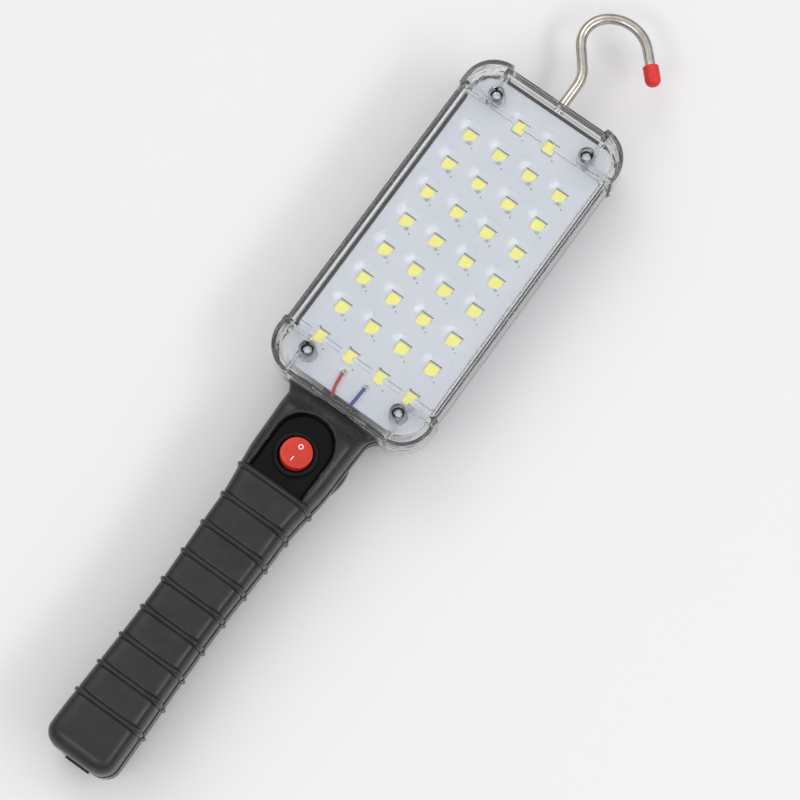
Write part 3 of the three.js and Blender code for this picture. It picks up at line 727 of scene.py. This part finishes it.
def led_board():
    plan = (BOARD_HIGH.x, BOARD_LOW.y, BOARD_HIGH.y, BOARD_CORNER)
    holes = uprights(screw_spots(), COLUMN_RADIUS + 0.3, BOARD_TOP - 3, BOARD_TOP + 3)
    return combined(slab(*plan, BOARD_LOW.z, BOARD_TOP, edge=0.12), minus(holes))


def square_frame(half, inner, low, high):
    """A square package with a shallow square well in its top."""
    outer = slab(half, -half, half, 0.5, low, high, edge=0.2, steps=3)
    well = slab(inner, -inner, inner, 0.6, high - 0.25, high + 1, steps=3)
    return combined(outer, minus(well))


def pillow(half, low, rise):
    """A square drop of resin, slightly domed."""
    rings = []
    for i in range(4):
        share = i / 3
        half_now = half - 0.35 * share ** 2
        height = low + rise * math.sin(share * math.pi / 2)
        outline = rounded_outline(half_now, -half_now, half_now, 0.7, 3)
        rings.append([(x, y, height) for x, y in outline])
    return stack(rings)


def paint(shape, index):
    for face in shape.faces:
        face.material_index = index
    return shape


def led():
    """A package and its resin, two solder strips, and the dark line and hole beside them."""
    half, side = LED_SIZE / 2, LED_SIZE / 2 - 0.3
    base, on_board = BOARD_TOP + 0.05, BOARD_TOP + PRINT
    top = base + LED_HEIGHT
    line = block((-half - 0.2, half + 0.2), (PAD_END, PAD_END + 0.34), (on_board, on_board + 2 * PRINT))
    hole = lathe([(0.28, 0), (0.28, 2 * PRINT)], (half + 1.1, -half - 0.9, on_board), 10)
    return joined([
        paint(square_frame(half, half - 0.25, base, top), PACKAGE),
        paint(pillow(half - 0.28, top - 0.22, 0.2), RESIN),
        paint(block((-side, side), (0.5 - half, -PAD_END), (on_board, base + 0.1)), STRIP),
        paint(block((-side, side), (half - 0.5, PAD_END), (on_board, base + 0.1)), STRIP),
        paint(line, BROWN_MARK),
        paint(hole, BROWN_MARK),
    ])


def led_row(row):
    return joined([moved(led(), x, y, 0) for x, y in led_spots(row)])


# ---------- screws ----------

SCREW = {"head": 1.9, "head_height": 1.8, "core": 0.95, "thread": 1.22, "pitch": 0.55, "point": 0.8}
SCREW_GAP = 0.05
# A seal's section as (radius, height) over its floor, outside, lip and inside.
SEAL_SECTION = [
    (AXIS_CAP, 0), (2.62, 0), (2.62, 1.9), (2.5, 2.1), (2.15, 2.1), (2.0, 1.9), (1.98, 0.75),
    (AXIS_CAP, 0.75),
]
SEAL_HOLE = 1.35


def screw_head(seat):
    """A pan head with a cross in its top."""
    radius, top = SCREW["head"], seat + SCREW["head_height"]
    head = lathe([
        (1.2, seat - 0.1), (radius - 0.1, seat), (radius, seat + 0.25), (radius, seat + 0.8),
        (radius * 0.93, seat + 1.2), (radius * 0.75, top - 0.15), (radius * 0.45, top),
        (AXIS_CAP, top + 0.02),
    ], sides=36)
    cross = []
    for turn in (25, 115):
        bar = block((-1.35, 1.35), (-0.24, 0.24), (seat + 0.8, top + 1))
        cross.append(minus(rotated(bar, turn, "Z")))
    return combined(head, *cross)


def screw_thread(seat):
    core, height = SCREW["core"], SCREW["point"]
    profile = [(0.3, 0), (core, height)]
    while height + 0.8 < seat:
        profile += [(SCREW["thread"], height + 0.25), (core, height + 0.5)]
        height += SCREW["pitch"]
    return lathe([*profile, (core, seat + 0.1)], sides=20)


def add_screw(node, finish, head_up=False):
    """A Phillips screw in place of a CAD screw; heads of the ones in the back point down."""
    low, high = local_box(node)
    length = high.z - low.z
    seat = length - SCREW["head_height"] - SCREW_GAP
    shape = combined(screw_head(seat), plus(screw_thread(seat)))
    if not head_up:
        moved(rotated(shape, 180, "X"), 0, 0, length)
    middle = middle_of(node)
    piece(f"{node}_look", moved(shape, middle.x, middle.y, low.z), "steel", [node], [finish])


def add_screws():
    finish = zinc()
    for i in range(1, 5):
        add_screw(f"cover_screw_{i}", finish, head_up=True)
        add_screw(f"handle_screw_{i}", finish)
    add_screw("magnet_screw", finish)


def screw_seal(x, y):
    """A rubber cup round the head of a cover screw."""
    low = COUNTERBORE_FLOOR + 0.02
    cup = lathe(SEAL_SECTION, (x, y, low), 40)
    return combined(cup, minus(upright(x, y, SEAL_HOLE, low - 1, low + 3, 24)))


def add_screw_seals():
    for i, (x, y) in enumerate(screw_spots(), start=1):
        piece(f"screw_seal_{i}_look", screw_seal(x, y), "rubber", [f"screw_seal_{i}"])


# ---------- hook ----------

HOOK_WIRE = 2.1
HOOK_INNER = 66.0
# Each stretch of the wire from the head on: a length with no turn, or a bend's radius and turn.
HOOK_MOVES = [(22.4, 0), (13.0, 38.6), (8.9, 0), (11.1, -87.4), (15.7, -87.4), (13.9, 0)]
CAP = {"radius": 3.3, "length": 9.0, "bore": 2.3, "depth": 7.35, "shoulder": 5.9, "overlap": 7.1}


def hook_line(step=0.8):
    """Centre line of the hook's wire, and its heading at the tip."""
    x, y, heading = 0.0, HOOK_INNER, math.pi / 2
    points = [Vector((x, y, HOOK_HEIGHT))]
    for size, degrees in HOOK_MOVES:
        turn = math.radians(degrees)
        length = size * abs(turn) if turn else size
        count = max(2, round(length / step))
        for _ in range(count):
            heading += turn / count / 2
            x += length / count * math.cos(heading)
            y += length / count * math.sin(heading)
            heading += turn / count / 2
            points.append(Vector((x, y, HOOK_HEIGHT)))
    return points, heading


def swept(points, radius, sides):
    """A round bar through the points."""
    rings = []
    side = Vector((0, 0, 1))
    for i, point in enumerate(points):
        ahead = points[min(i + 1, len(points) - 1)] - points[max(i - 1, 0)]
        ahead.normalize()
        side = (side - ahead * side.dot(ahead)).normalized()
        other = ahead.cross(side)
        turns = full_turn(sides)
        rings.append([point + (side * math.cos(t) + other * math.sin(t)) * radius for t in turns])
    return stack(rings)


def hook_wire():
    """The bent wire, with the upset end that holds it behind its washer."""
    points, _ = hook_line()
    upset = [(2.6, -1.5), (3.1, -1.1), (3.2, -0.5), (3.2, 0.05)]
    rivet = round_the_hook([(radius, HOOK_INNER + y) for radius, y in upset])
    return combined(swept(points, HOOK_WIRE, 28), plus(rivet))


def hook_cap():
    """A soft sleeve with a round nose, open towards the wire."""
    points, heading = hook_line()
    radius, bore, depth, shoulder = CAP["radius"], CAP["bore"], CAP["depth"], CAP["shoulder"]
    profile = [
        (AXIS_CAP, depth), (bore, depth), (bore, 0), (radius - 0.35, 0), (radius, 0.35),
        (radius, shoulder),
    ]
    for i in range(1, 9):
        turn = math.radians(90 * i / 8.3)
        nose = (CAP["length"] - shoulder) * math.sin(turn)
        profile.append((radius * math.cos(turn), shoulder + nose))
    shape = lathe(profile, sides=36)
    along = Vector((math.cos(heading), math.sin(heading), 0))
    tip_over = Vector((0, 0, 1)).rotation_difference(along).to_matrix()
    bmesh.ops.rotate(shape, verts=shape.verts, matrix=tip_over)
    return moved(shape, *(points[-1] - along * CAP["overlap"]))


# ---------- handle ----------

GRIP_FRONT_LOW, GRIP_FRONT_HIGH = local_box("handle_front_shell")
GRIP_BACK_HIGH = local_box("handle_rear_shell")[1]
GRIP_NEAR = GRIP_FRONT_HIGH.y
GRIP_END = GRIP_FRONT_LOW.y
PARTING = (GRIP_FRONT_LOW.z + GRIP_BACK_HIGH.z) / 2
SEAM = GRIP_FRONT_LOW.z - PARTING
GRIP_WALL = 2.2
GRIP_STEPS = 72
STATION_STEP = 2.0
RIB_STATION_STEP = 0.21
SCREW_POST = 3.2
MAGNET_BOSS = 17
MAGNET_POST = 3.4
HANDLE_COUNTERBORE = 2.2
END_FILLET = 7.0
FLARE_RADIUS = 6.5
FLARE_GROWTH = 5.5
RIB_FIRST = -118.7
RIB_LAST = -225.7
RIB_COUNT = 9
RIB_HALF = 1.2
RIB_RISE = 1.1
GROOVE_WIDTH = 0.55
GROOVE_DEPTH = 0.3
SEAM_STEP = 0.35
HALF_WIDTHS = [(GRIP_NEAR, 18.4), (-104, 17.8), (-136, 15.0), (-180, 14.1), (GRIP_END, 15.5)]
FRONTS = [(GRIP_NEAR, 26.5), (-90, 34.4), (-118, 34.4), (-167, 32.4), (GRIP_END, 35.0)]
BACKS = [(GRIP_NEAR, 7.0), (-100, 6.6), (-136, 2.4), (GRIP_END, 0.9)]
FRONT_SQUARENESS = 4.6
BACK_SQUARENESS = 4.2

ARCH = {"half": 12.2, "top": -87.0, "bottom": -117.4, "floor": 32.0, "draft": 0.9}
ARCH_MIDDLE = ARCH["top"] - ARCH["half"]
SWITCH_Y = -103.7
SWITCH_HOLE = 8.2
PORT = {"half_width": 4.6, "half_height": 2.1, "height": 9.5, "rim": 1.1, "proud": 0.85}
RIBS = [RIB_FIRST + (RIB_LAST - RIB_FIRST) * i / (RIB_COUNT - 1) for i in range(RIB_COUNT)]


def eased(stops, y):
    """The value at y of a quantity that turns smoothly at each (y, value) stop."""
    for (y0, a), (y1, b) in zip(stops, stops[1:]):
        if y >= y1:
            share = min(1.0, max(0.0, (y0 - y) / (y0 - y1)))
            return a + (b - a) * (1 - math.cos(math.pi * share)) / 2
    return stops[-1][1]


def rib_height(y):
    """A rounded bead at each rib, between two fine grooves."""
    away = min(abs(y - rib) for rib in RIBS)
    if away < RIB_HALF:
        return RIB_RISE * math.cos(away / RIB_HALF * math.pi / 2) ** 0.8 - GROOVE_DEPTH
    if away < RIB_HALF + GROOVE_WIDTH:
        return -GROOVE_DEPTH * (1 - (away - RIB_HALF) / GROOVE_WIDTH)
    return 0.0


def grip_section(y, inset, proud):
    """Half-width, height above the seam and depth below it."""
    end = GRIP_END + inset
    fillet = END_FILLET - inset
    past = max(0.0, fillet - (y - end))
    rounding = fillet - math.sqrt(max(0.0, fillet ** 2 - past ** 2))
    up = max(0.0, y - GRIP_NEAR + FLARE_GROWTH)
    flare = FLARE_RADIUS - math.sqrt(FLARE_RADIUS ** 2 - up ** 2)
    trim = inset + rounding - proud
    return (
        eased(HALF_WIDTHS, y) + flare - trim,
        eased(FRONTS, y) - PARTING - trim,
        PARTING - eased(BACKS, y) - trim,
    )


def grip_point(y, turn, inset, proud):
    """A point on the grip's surface; turn goes from the right seam over the front."""
    half, rise, drop = grip_section(y, inset, proud)
    across, up = math.cos(turn), math.sin(turn)
    power = FRONT_SQUARENESS if up >= 0 else BACK_SQUARENESS
    reach = (abs(across) ** power + abs(up) ** power) ** (-1 / power)
    height = (rise if up >= 0 else drop) * reach * up
    return (half * reach * across, y, PARTING + height)


def stations(ribs):
    """Places along the grip at which its section is drawn, from the head to the end.

    They lie closer together in the flare, in the end's rounding and over each rib."""
    far = GRIP_END + 0.02
    count = int((GRIP_NEAR - far - END_FILLET) / STATION_STEP)
    places = [GRIP_NEAR - i * STATION_STEP for i in range(count)]
    places += [GRIP_NEAR - share for share in (0.3, 0.7, 1.2, 1.8, 2.6, 3.4, 4.4)]
    places += [far + END_FILLET * (1 - math.sin(math.radians(90 * i / 12))) for i in range(13)]
    for rib in ribs:
        places = [y for y in places if abs(y - rib) > 9 * RIB_STATION_STEP + 0.01]
        places += [rib + offset * RIB_STATION_STEP for offset in range(-9, 10)]
    return sorted(set(places), reverse=True)


def shell_row(y, sign, inset, proud):
    """One section of a half shell, from seam to seam."""
    step = SEAM_STEP if sign < 0 and not inset else 0
    turns = [sign * math.pi * i / GRIP_STEPS for i in range(GRIP_STEPS + 1)]
    points = [Vector(grip_point(y, turn, inset, proud + step * math.cos(turn) ** 2)) for turn in turns]
    for index in (0, -1):
        points[index].z = PARTING + sign * SEAM
    return points


def bridge(shape, first, second, inwards=False):
    """Faces between two rows of points, turned outwards or inwards."""
    for i in range(len(first) - 1):
        a, b, c, d = first[i], first[i + 1], second[i + 1], second[i]
        shape.faces.new((a, d, c, b) if inwards else (a, b, c, d))


def half_shell(sign):
    """One closed half of the handle, with its wall; sign is 1 for the front and -1 for the rear."""
    places = stations(RIBS)
    outer = [shell_row(y, sign, 0, rib_height(y)) for y in places]
    inner = [shell_row(y, sign, GRIP_WALL, 0) for y in places if y > GRIP_END + GRIP_WALL + 0.05]
    shape = bmesh.new()
    outside = [[shape.verts.new(point) for point in row] for row in outer]
    inside = [[shape.verts.new(point) for point in row] for row in inner]
    for first, second in zip(outside, outside[1:]):
        bridge(shape, first, second)
    for first, second in zip(inside, inside[1:]):
        bridge(shape, first, second, inwards=True)
    bridge(shape, outside[0], inside[0], inwards=True)
    shape.faces.new(outside[-1])
    shape.faces.new(inside[-1][::-1])
    for edge in (0, -1):
        bridge(shape, [row[edge] for row in outside[:len(inside)]], [row[edge] for row in inside])
    beyond = outside[len(inside) - 1:]
    rim = [row[0] for row in beyond] + [row[-1] for row in reversed(beyond)]
    shape.faces.new((*rim, inside[-1][-1], inside[-1][0]))
    return shape


def grip_solid(inset):
    """The whole handle as one solid, without its ribs."""
    turns = full_turn(120)
    return stack([[grip_point(y, turn, inset, 0) for turn in turns] for y in stations([])])


def arch_solid(levels):
    """A solid with straight sides under a half circle, from (height, half-width, bottom) levels."""
    rings = []
    for z, half, bottom in levels:
        arch = [(-half, bottom), (half, bottom), *arc((0, ARCH_MIDDLE), half, 0, 180, 40)]
        rings.append([(x, y, z) for x, y in arch])
    return stack(rings)


def port_shape(margin, outside, inside):
    """A slot with round ends about the charging port, from outside the end face to inside it."""
    half_height = PORT["half_height"] + margin
    reach = PORT["half_width"] - PORT["half_height"]
    outline = [
        *arc((reach, 0), half_height, -90, 90, 10),
        *arc((-reach, 0), half_height, 90, 270, 10),
    ]
    levels = (GRIP_END - outside, GRIP_END + inside)
    return stack([[(x, y, PORT["height"] + z) for x, z in outline] for y in levels])


def front_height(x, y):
    """Height of the grip's front surface over a point of the plan."""
    half, rise, _ = grip_section(y, 0, 0)
    share = 1 - (abs(x) / half) ** FRONT_SQUARENESS
    return PARTING + rise * share ** (1 / FRONT_SQUARENESS)


def recess_bead():
    """A fine rounded bead along the edge of the recess."""
    half = ARCH["half"] + 1.1
    route = [(half, ARCH["bottom"] + i * 1.5) for i in range(12)]
    route = [(x, y) for x, y in route if y < ARCH_MIDDLE - 0.5]
    back = [(-x, y) for x, y in reversed(route)]
    plan = [*route, *arc((0, ARCH_MIDDLE), half, 0, 180, 48), *back]
    return swept([Vector((x, y, front_height(x, y) - 0.2)) for x, y in plan], 0.55, 16)


def in_recess(point):
    """Whether a point of the front shell is on the floor or the walls round the switch."""
    across = math.hypot(point.x, max(0.0, point.y - ARCH_MIDDLE))
    inside = across < ARCH["half"] + 0.5 and point.y > ARCH["bottom"] - 0.1
    return inside and point.z > ARCH["floor"] - 0.1


def switch_plate():
    """The floor and the walls round the switch, before the recess is cut into them."""
    half, bottom, floor = ARCH["half"] + 1.6, ARCH["bottom"] - 1, ARCH["floor"]
    arch = arch_solid([(floor - GRIP_WALL, half, bottom), (floor + 3, half, bottom)])
    return combined(arch, within(grip_solid(0.5)))


def switch_recess():
    half, bottom, floor, draft = ARCH["half"], ARCH["bottom"], ARCH["floor"], ARCH["draft"]
    return arch_solid([
        (floor, half - draft, bottom + 0.4),
        (floor + 2.4, half + draft * 0.7, bottom),
        (floor + 8, half + draft * 0.9, bottom - 0.2),
    ])


def handle_posts(low, high, inset):
    """The posts of the handle's screws, kept inside its skin."""
    posts = uprights(screw_spots("handle_screw"), SCREW_POST, low, high)
    return combined(posts, within(grip_solid(inset)))


def front_shell():
    spots = screw_spots("handle_screw")
    shell = combined(
        half_shell(1),
        plus(switch_plate()),
        plus(recess_bead()),
        plus(handle_posts(PARTING + SEAM, 32, 1.0)),
        minus(switch_recess()),
        minus(upright(0, SWITCH_Y, SWITCH_HOLE, ARCH["floor"] - 5, 40, 64)),
        minus(uprights(spots, SHANK_HOLE, PARTING - 1, PARTING + 3.7, 20)),
    )
    # Faces on the recess floor and walls take the second finish, which paints shade into the recess.
    for face in shell.faces:
        face.material_index = 1 if in_recess(face.calc_center_median()) else 0
    return shell


def rear_shell():
    top = GRIP_BACK_HIGH.z
    spots = screw_spots("handle_screw")
    magnet = (0, MAGNET_Y)
    return combined(
        half_shell(-1),
        plus(upright(*magnet, MAGNET_BOSS, CUP_TOP, CUP_TOP + 2.6, 72)),
        plus(upright(*magnet, MAGNET_POST, CUP_TOP, CUP_TOP + 3.6)),
        minus(upright(*magnet, CUP_RADIUS + 0.3, -1, CUP_TOP + 0.3, 96)),
        plus(handle_posts(2, top, 0.6)),
        minus(uprights(spots, HANDLE_COUNTERBORE, -1, 12)),
        minus(uprights(spots, SHANK_HOLE, 0, top + 1, 20)),
        minus(neck_block(0.3, GRIP_NEAR - SPIGOT["length"] - 1, GRIP_NEAR + 1)),
        minus(upright(*magnet, SHANK_HOLE, 0, CUP_TOP + 5, 20)),
        plus(port_shape(PORT["rim"], PORT["proud"], GRIP_WALL)),
        minus(port_shape(0, PORT["proud"] + 1, GRIP_WALL + 1)),
    )


# ---------- switch ----------

SWITCH_LOW, SWITCH_HIGH = local_box("switch_housing")
PIVOT = 31.4
ROCKER_RADIUS = 6.5
VALLEY = 2.6
ROCKER_TILT = 10
MARK_Y = 2.9


def switch_housing():
    flange = SWITCH_HIGH.x
    top = SWITCH_HIGH.z
    profile = [
        (AXIS_CAP, PIVOT - 5), (7.2, PIVOT - 5), (7.25, top - 0.35), (7.35, top - 0.1), (7.6, top),
        (8.2, top), (8.6, top - 0.1), (8.88, top - 0.32), (flange, top - 0.65),
        (flange, top - 1.2), (7.9, top - 1.2), (7.9, SWITCH_LOW.z), (AXIS_CAP, SWITCH_LOW.z),
    ]
    return lathe(profile, (0, SWITCH_Y, 0), 72)


def rocker_face(y):
    """Height of the rocker's face above its pivot: two slopes that meet in a soft valley."""
    soft = 0.7
    return VALLEY + math.tan(math.radians(ROCKER_TILT)) * (math.hypot(y, soft) - soft)


def seat_rocker(shape):
    """Turns a shape about the rocker's pivot to where it rests."""
    return moved(rotated(shape, -ROCKER_TILT, "X"), 0, SWITCH_Y, PIVOT)


def rocker():
    """The round button: rings from its middle over its rounded edge and down its side."""
    flat = [(radius, 0) for radius in (0.03, 0.8, 1.6, 2.4, 3.2, 4, 4.8, 5.5)]
    edge = [(5.9, 0.04), (6.15, 0.13), (6.33, 0.28), (6.45, 0.5), (ROCKER_RADIUS, 0.8)]
    side = [(ROCKER_RADIUS, -2.4), (6.3, -2.8), (5.9, -3.0)]
    face = [[(x, y, rocker_face(y) - drop) for x, y in circle(r, 80)] for r, drop in [*flat, *edge]]
    skirt = [[(x, y, z) for x, y in circle(r, 80)] for r, z in side]
    return seat_rocker(stack([*face, *skirt]))


def on_rocker(outline, proud=0.05, sunk=0.15):
    """A printed mark on the rocker's face, with a little thickness."""
    return stack([[(x, y, rocker_face(y) + level) for x, y in outline] for level in (-sunk, proud)])


def rocker_marks():
    """A ring on the half towards the head and a bar on the half towards the grip."""
    outer, inner = ([(x, y + MARK_Y) for x, y in circle(radius, 40)] for radius in (1.05, 0.62))
    ring = combined(on_rocker(outer), minus(on_rocker(inner, 1, 1)))
    bar = on_rocker(rounded_outline(0.24, -MARK_Y - 1.1, 1.1 - MARK_Y, 0.12, 3))
    return seat_rocker(joined([ring, bar]))


# ---------- magnet ----------

CUP_LOW, CUP_HIGH = local_box("magnet_cup")
RING_LOW, RING_HIGH = local_box("magnet_ring")
CUP_RADIUS, CUP_TOP = CUP_HIGH.x, CUP_HIGH.z
MAGNET_Y = middle_of("magnet_cup").y
RING_RADIUS, RING_TOP = RING_HIGH.x, RING_HIGH.z
RING_BORE = 3.4


def magnet_cup():
    low = CUP_LOW.z
    profile = [
        (AXIS_CAP, CUP_TOP), (CUP_RADIUS - 1.2, CUP_TOP), (CUP_RADIUS - 0.3, CUP_TOP - 0.3),
        (CUP_RADIUS, CUP_TOP - 1.2), (CUP_RADIUS, low + 0.6), (CUP_RADIUS - 0.2, low + 0.15),
        (CUP_RADIUS - 0.6, low), (RING_RADIUS + 0.6, low), (RING_RADIUS + 0.3, low + 0.3),
        (RING_RADIUS + 0.3, RING_TOP + 0.3), (AXIS_CAP, RING_TOP + 0.3),
    ]
    cup = lathe(profile, (0, MAGNET_Y, 0), 96)
    return combined(cup, minus(upright(0, MAGNET_Y, SHANK_HOLE, 0, 9, 20)))


def magnet_ring():
    profile = [
        (AXIS_CAP, RING_LOW.z), (RING_RADIUS - 0.4, RING_LOW.z), (RING_RADIUS - 0.1, 0.15),
        (RING_RADIUS, 0.4), (RING_RADIUS, RING_TOP - 0.3), (RING_RADIUS - 0.3, RING_TOP),
        (AXIS_CAP, RING_TOP),
    ]
    disc = lathe(profile, (0, MAGNET_Y, 0), 96)
    bore = lathe([
        (RING_BORE + 0.9, -1), (RING_BORE + 0.5, 0), (RING_BORE, 0.5), (RING_BORE, RING_TOP + 1),
    ], (0, MAGNET_Y, 0), 48)
    return combined(disc, minus(bore))


# ---------- lamp wires ----------

WIRE_RADIUS = 0.7
WIRE_X = 4.2
WIRE_HEIGHT = 14.1
OVER_CELL = 26.1
PAD_Y = -65.1
RED_PAD_X = -5.9
BLUE_PAD_X = 4.8


def smooth_route(points, between=6):
    """Points on a smooth curve through the given ones."""
    ends = [points[0] * 2 - points[1], *points, points[-1] * 2 - points[-2]]
    route = []
    for a, b, c, d in zip(ends, ends[1:], ends[2:], ends[3:]):
        for k in range(between):
            t = k / between
            route.append(0.5 * (
                2 * b + (c - a) * t + (2 * a - 5 * b + 4 * c - d) * t ** 2
                + (3 * b - a - 3 * c + d) * t ** 3
            ))
    route.append(points[-1])
    return route


def through_the_neck(pad_x, x):
    """From a pad on the board, over its edge and through the grommet."""
    on_board = BOARD_TOP + WIRE_RADIUS + 0.3
    over_edge = [
        (-0.6, on_board + 0.1), (-1.9, 20.2), (-2.1, 17.5), (-2.5, 15.3), (-3.6, WIRE_HEIGHT + 0.2),
        (-5, WIRE_HEIGHT),
    ]
    return [
        (pad_x, PAD_Y, on_board),
        (pad_x + (x - pad_x) * 0.4, -70.5, on_board + 0.5),
        *[(x, BOARD_LOW.y + past, height) for past, height in over_edge],
        (x, -84, WIRE_HEIGHT),
    ]


def wire(points):
    return swept(smooth_route([Vector(point) for point in points]), WIRE_RADIUS, 14)


def red_wire():
    """From its pad to the switch."""
    return wire([*through_the_neck(RED_PAD_X, -WIRE_X), (-5.5, -93, 13.4), (-3.4, -100, 12.8)])


def blue_wire():
    """From its pad past the switch and over the battery to the charge board."""
    return wire([
        *through_the_neck(BLUE_PAD_X, WIRE_X),
        (8.6, -94, WIRE_HEIGHT),
        (10.4, SWITCH_Y, WIRE_HEIGHT),
        (7.8, -115, 16),
        (7.5, -132, OVER_CELL),
        (7, -186, OVER_CELL),
        (6.6, -194, 24.7),
        (5.6, -201, 15),
        (5, -207, 8.7),
    ])


def solder_joint(x):
    """A ring pad with a little cone of solder round the wire's end."""
    profile = [
        (AXIS_CAP, 0.0), (1.7, 0.0), (1.72, 0.08), (1.2, 0.12), (0.95, 0.3), (0.75, 0.6),
        (0.5, 0.85), (AXIS_CAP, 0.95),
    ]
    return lathe(profile, (x, PAD_Y + 0.6, BOARD_TOP + 0.02), 28)


# ---------- everything in its place ----------

def add_head():
    finishes = [FINISH_OF_SLOT["clear_plastic"], rippled_plastic()]
    piece("cover_clear", front_cover(), "clear_plastic", ["front_cover"], finishes)
    piece("tray_clear", rear_tray(), "clear_plastic", ["head_rear_shell"])
    piece("board_white", led_board(), "board", ["led_board"])


def add_leds():
    finishes = [led_package(), FINISH_OF_SLOT["led"], SOLDER, brown_gap()]
    for row in range(LED_ROWS):
        name = f"led_row_{row + 1}"
        piece(f"{name}_look", led_row(row), "led", [name], finishes, even=False)


def add_hook():
    piece("hook_bent_wire", hook_wire(), "steel", ["hook_wire"], body="hook", even=False)
    piece("hook_vinyl_cap", hook_cap(), "red_vinyl", ["hook_tip_cap"], body="hook", even=False)


def add_handle():
    # The second finish paints shade on the floor and walls round the switch.
    finishes = [FINISH_OF_SLOT["black_plastic"], recess_painted_shade()]
    piece("grip_front", front_shell(), "black_plastic", ["handle_front_shell"], finishes, crease=38)
    piece("grip_back", rear_shell(), "black_plastic", ["handle_rear_shell"], crease=38)


def add_switch():
    piece("switch_bezel", switch_housing(), "black_plastic", ["switch_housing"], [glossy_black()])
    piece("rocker_button", rocker(), "red_rocker", ["switch_rocker"], body="rocker", even=False)
    piece("rocker_marks", rocker_marks(), "red_rocker", (), [mark_white()], "rocker", even=False)


def add_magnet():
    piece("magnet_cup_look", magnet_cup(), "black_plastic", ["magnet_cup"])
    piece("magnet_ring_look", magnet_ring(), "ferrite", ["magnet_ring"])


def add_wires():
    piece("lamp_wire_red", red_wire(), "red_vinyl", ["wire_red_lamp"], even=False)
    piece("lamp_wire_blue", blue_wire(), "blue_vinyl", ["wire_blue_lamp"], even=False)
    piece("solder_red", solder_joint(RED_PAD_X), "steel", (), [SOLDER], even=False)
    piece("solder_blue", solder_joint(BLUE_PAD_X), "steel", (), [SOLDER], even=False)


# ---------- floor, light and camera, in metres ----------

FLOOR_HALF = 12.0


def floor():
    """A wide pale sheet under the object."""
    mesh = bmesh.new()
    bmesh.ops.create_grid(mesh, x_segments=1, y_segments=1, size=FLOOR_HALF)
    plane = in_scene("studio_floor", as_mesh(mesh, "studio_floor"))
    material, shader = surface("studio_paper", (0.86, 0.86, 0.87), 0.7, Specular_IOR_Level=0.2)
    shades(material, shader, (0.855, 0.855, 0.865), (0.865, 0.865, 0.87), 2)
    plane.data.materials.append(material)


def soft_box(name, place, size, power):
    """A rectangular light that points at the object, its size given across and along."""
    light = bpy.data.lights.new(name, "AREA")
    light.shape = "RECTANGLE"
    light.size, light.size_y = size
    light.energy = power
    lamp = in_scene(name, light)
    lamp.location = place
    lamp.rotation_euler = Vector(place).to_track_quat("Z", "Y").to_euler()


# How bright the tent round the object is at each sine of the elevation.
TENT = [(0.0, 0.05), (0.12, 0.07), (0.3, 0.38), (0.52, 0.8), (0.74, 0.98), (0.93, 0.8), (1.0, 0.76)]
TENT_STRENGTH = 0.96
TENT_COLOR = (1.0, 0.99, 1.0)


def tent():
    """A light tent seen from inside: dim straight above, bright round the sides, dark low down."""
    world = bpy.data.worlds.new("tent")
    world.use_nodes = True
    background, links = world.node_tree.nodes["Background"], world.node_tree.links
    direction = new_node(world, "TexCoord")
    split = new_node(world, "SeparateXYZ")
    ramp = new_node(world, "ValToRGB")
    ramp.color_ramp.interpolation = "EASE"
    steps = ramp.color_ramp.elements
    while len(steps) < len(TENT):
        steps.new(0.5)
    for step, (position, level) in zip(steps, TENT):
        step.position = position
        step.color = (*[level * part for part in TENT_COLOR], 1)
    links.new(direction.outputs["Generated"], split.inputs["Vector"])
    links.new(split.outputs["Z"], ramp.inputs["Fac"])
    links.new(ramp.outputs["Color"], background.inputs["Color"])
    fill(background, Strength=TENT_STRENGTH)
    bpy.context.scene.world = world


def studio_light():
    tent()
    soft_box("key", (-1.3, 0.9, 1.7), (1.3, 1.3), 7)
    soft_box("side_strip", (1.43, 0.35, 1.35), (1.6, 0.4), 9)
    soft_box("end_strip", (-0.25, -1.27, 1.52), (1.2, 0.25), 4)
    bpy.context.scene.view_settings.view_transform = "Standard"


CAMERA_AZIMUTH = math.radians(35.66)
CAMERA_TILT = math.radians(12.55)
CAMERA_DISTANCE = 1.187
CAMERA_LENS = 135.8
# The point looked at, in millimetres from the array's centre.
CAMERA_AIM = Vector((18.6, -60.4, 20.5))


def camera():
    """Looks down at the object from the lower right, almost from straight above."""
    data = bpy.data.cameras.new("camera")
    data.lens = CAMERA_LENS
    data.clip_start = 0.01
    eye = in_scene("camera", data)
    back = Vector((
        math.sin(CAMERA_TILT) * math.sin(CAMERA_AZIMUTH),
        -math.sin(CAMERA_TILT) * math.cos(CAMERA_AZIMUTH),
        math.cos(CAMERA_TILT),
    ))
    eye.location = TO_FRAME @ CAMERA_AIM + back * CAMERA_DISTANCE
    eye.rotation_euler = back.to_track_quat("Z", "Y").to_euler()
    bpy.context.scene.camera = eye


finish_cad_nodes()
add_head()
add_leds()
add_screws()
add_screw_seals()
add_hook()
add_handle()
add_switch()
add_magnet()
add_wires()
floor()
studio_light()
camera()
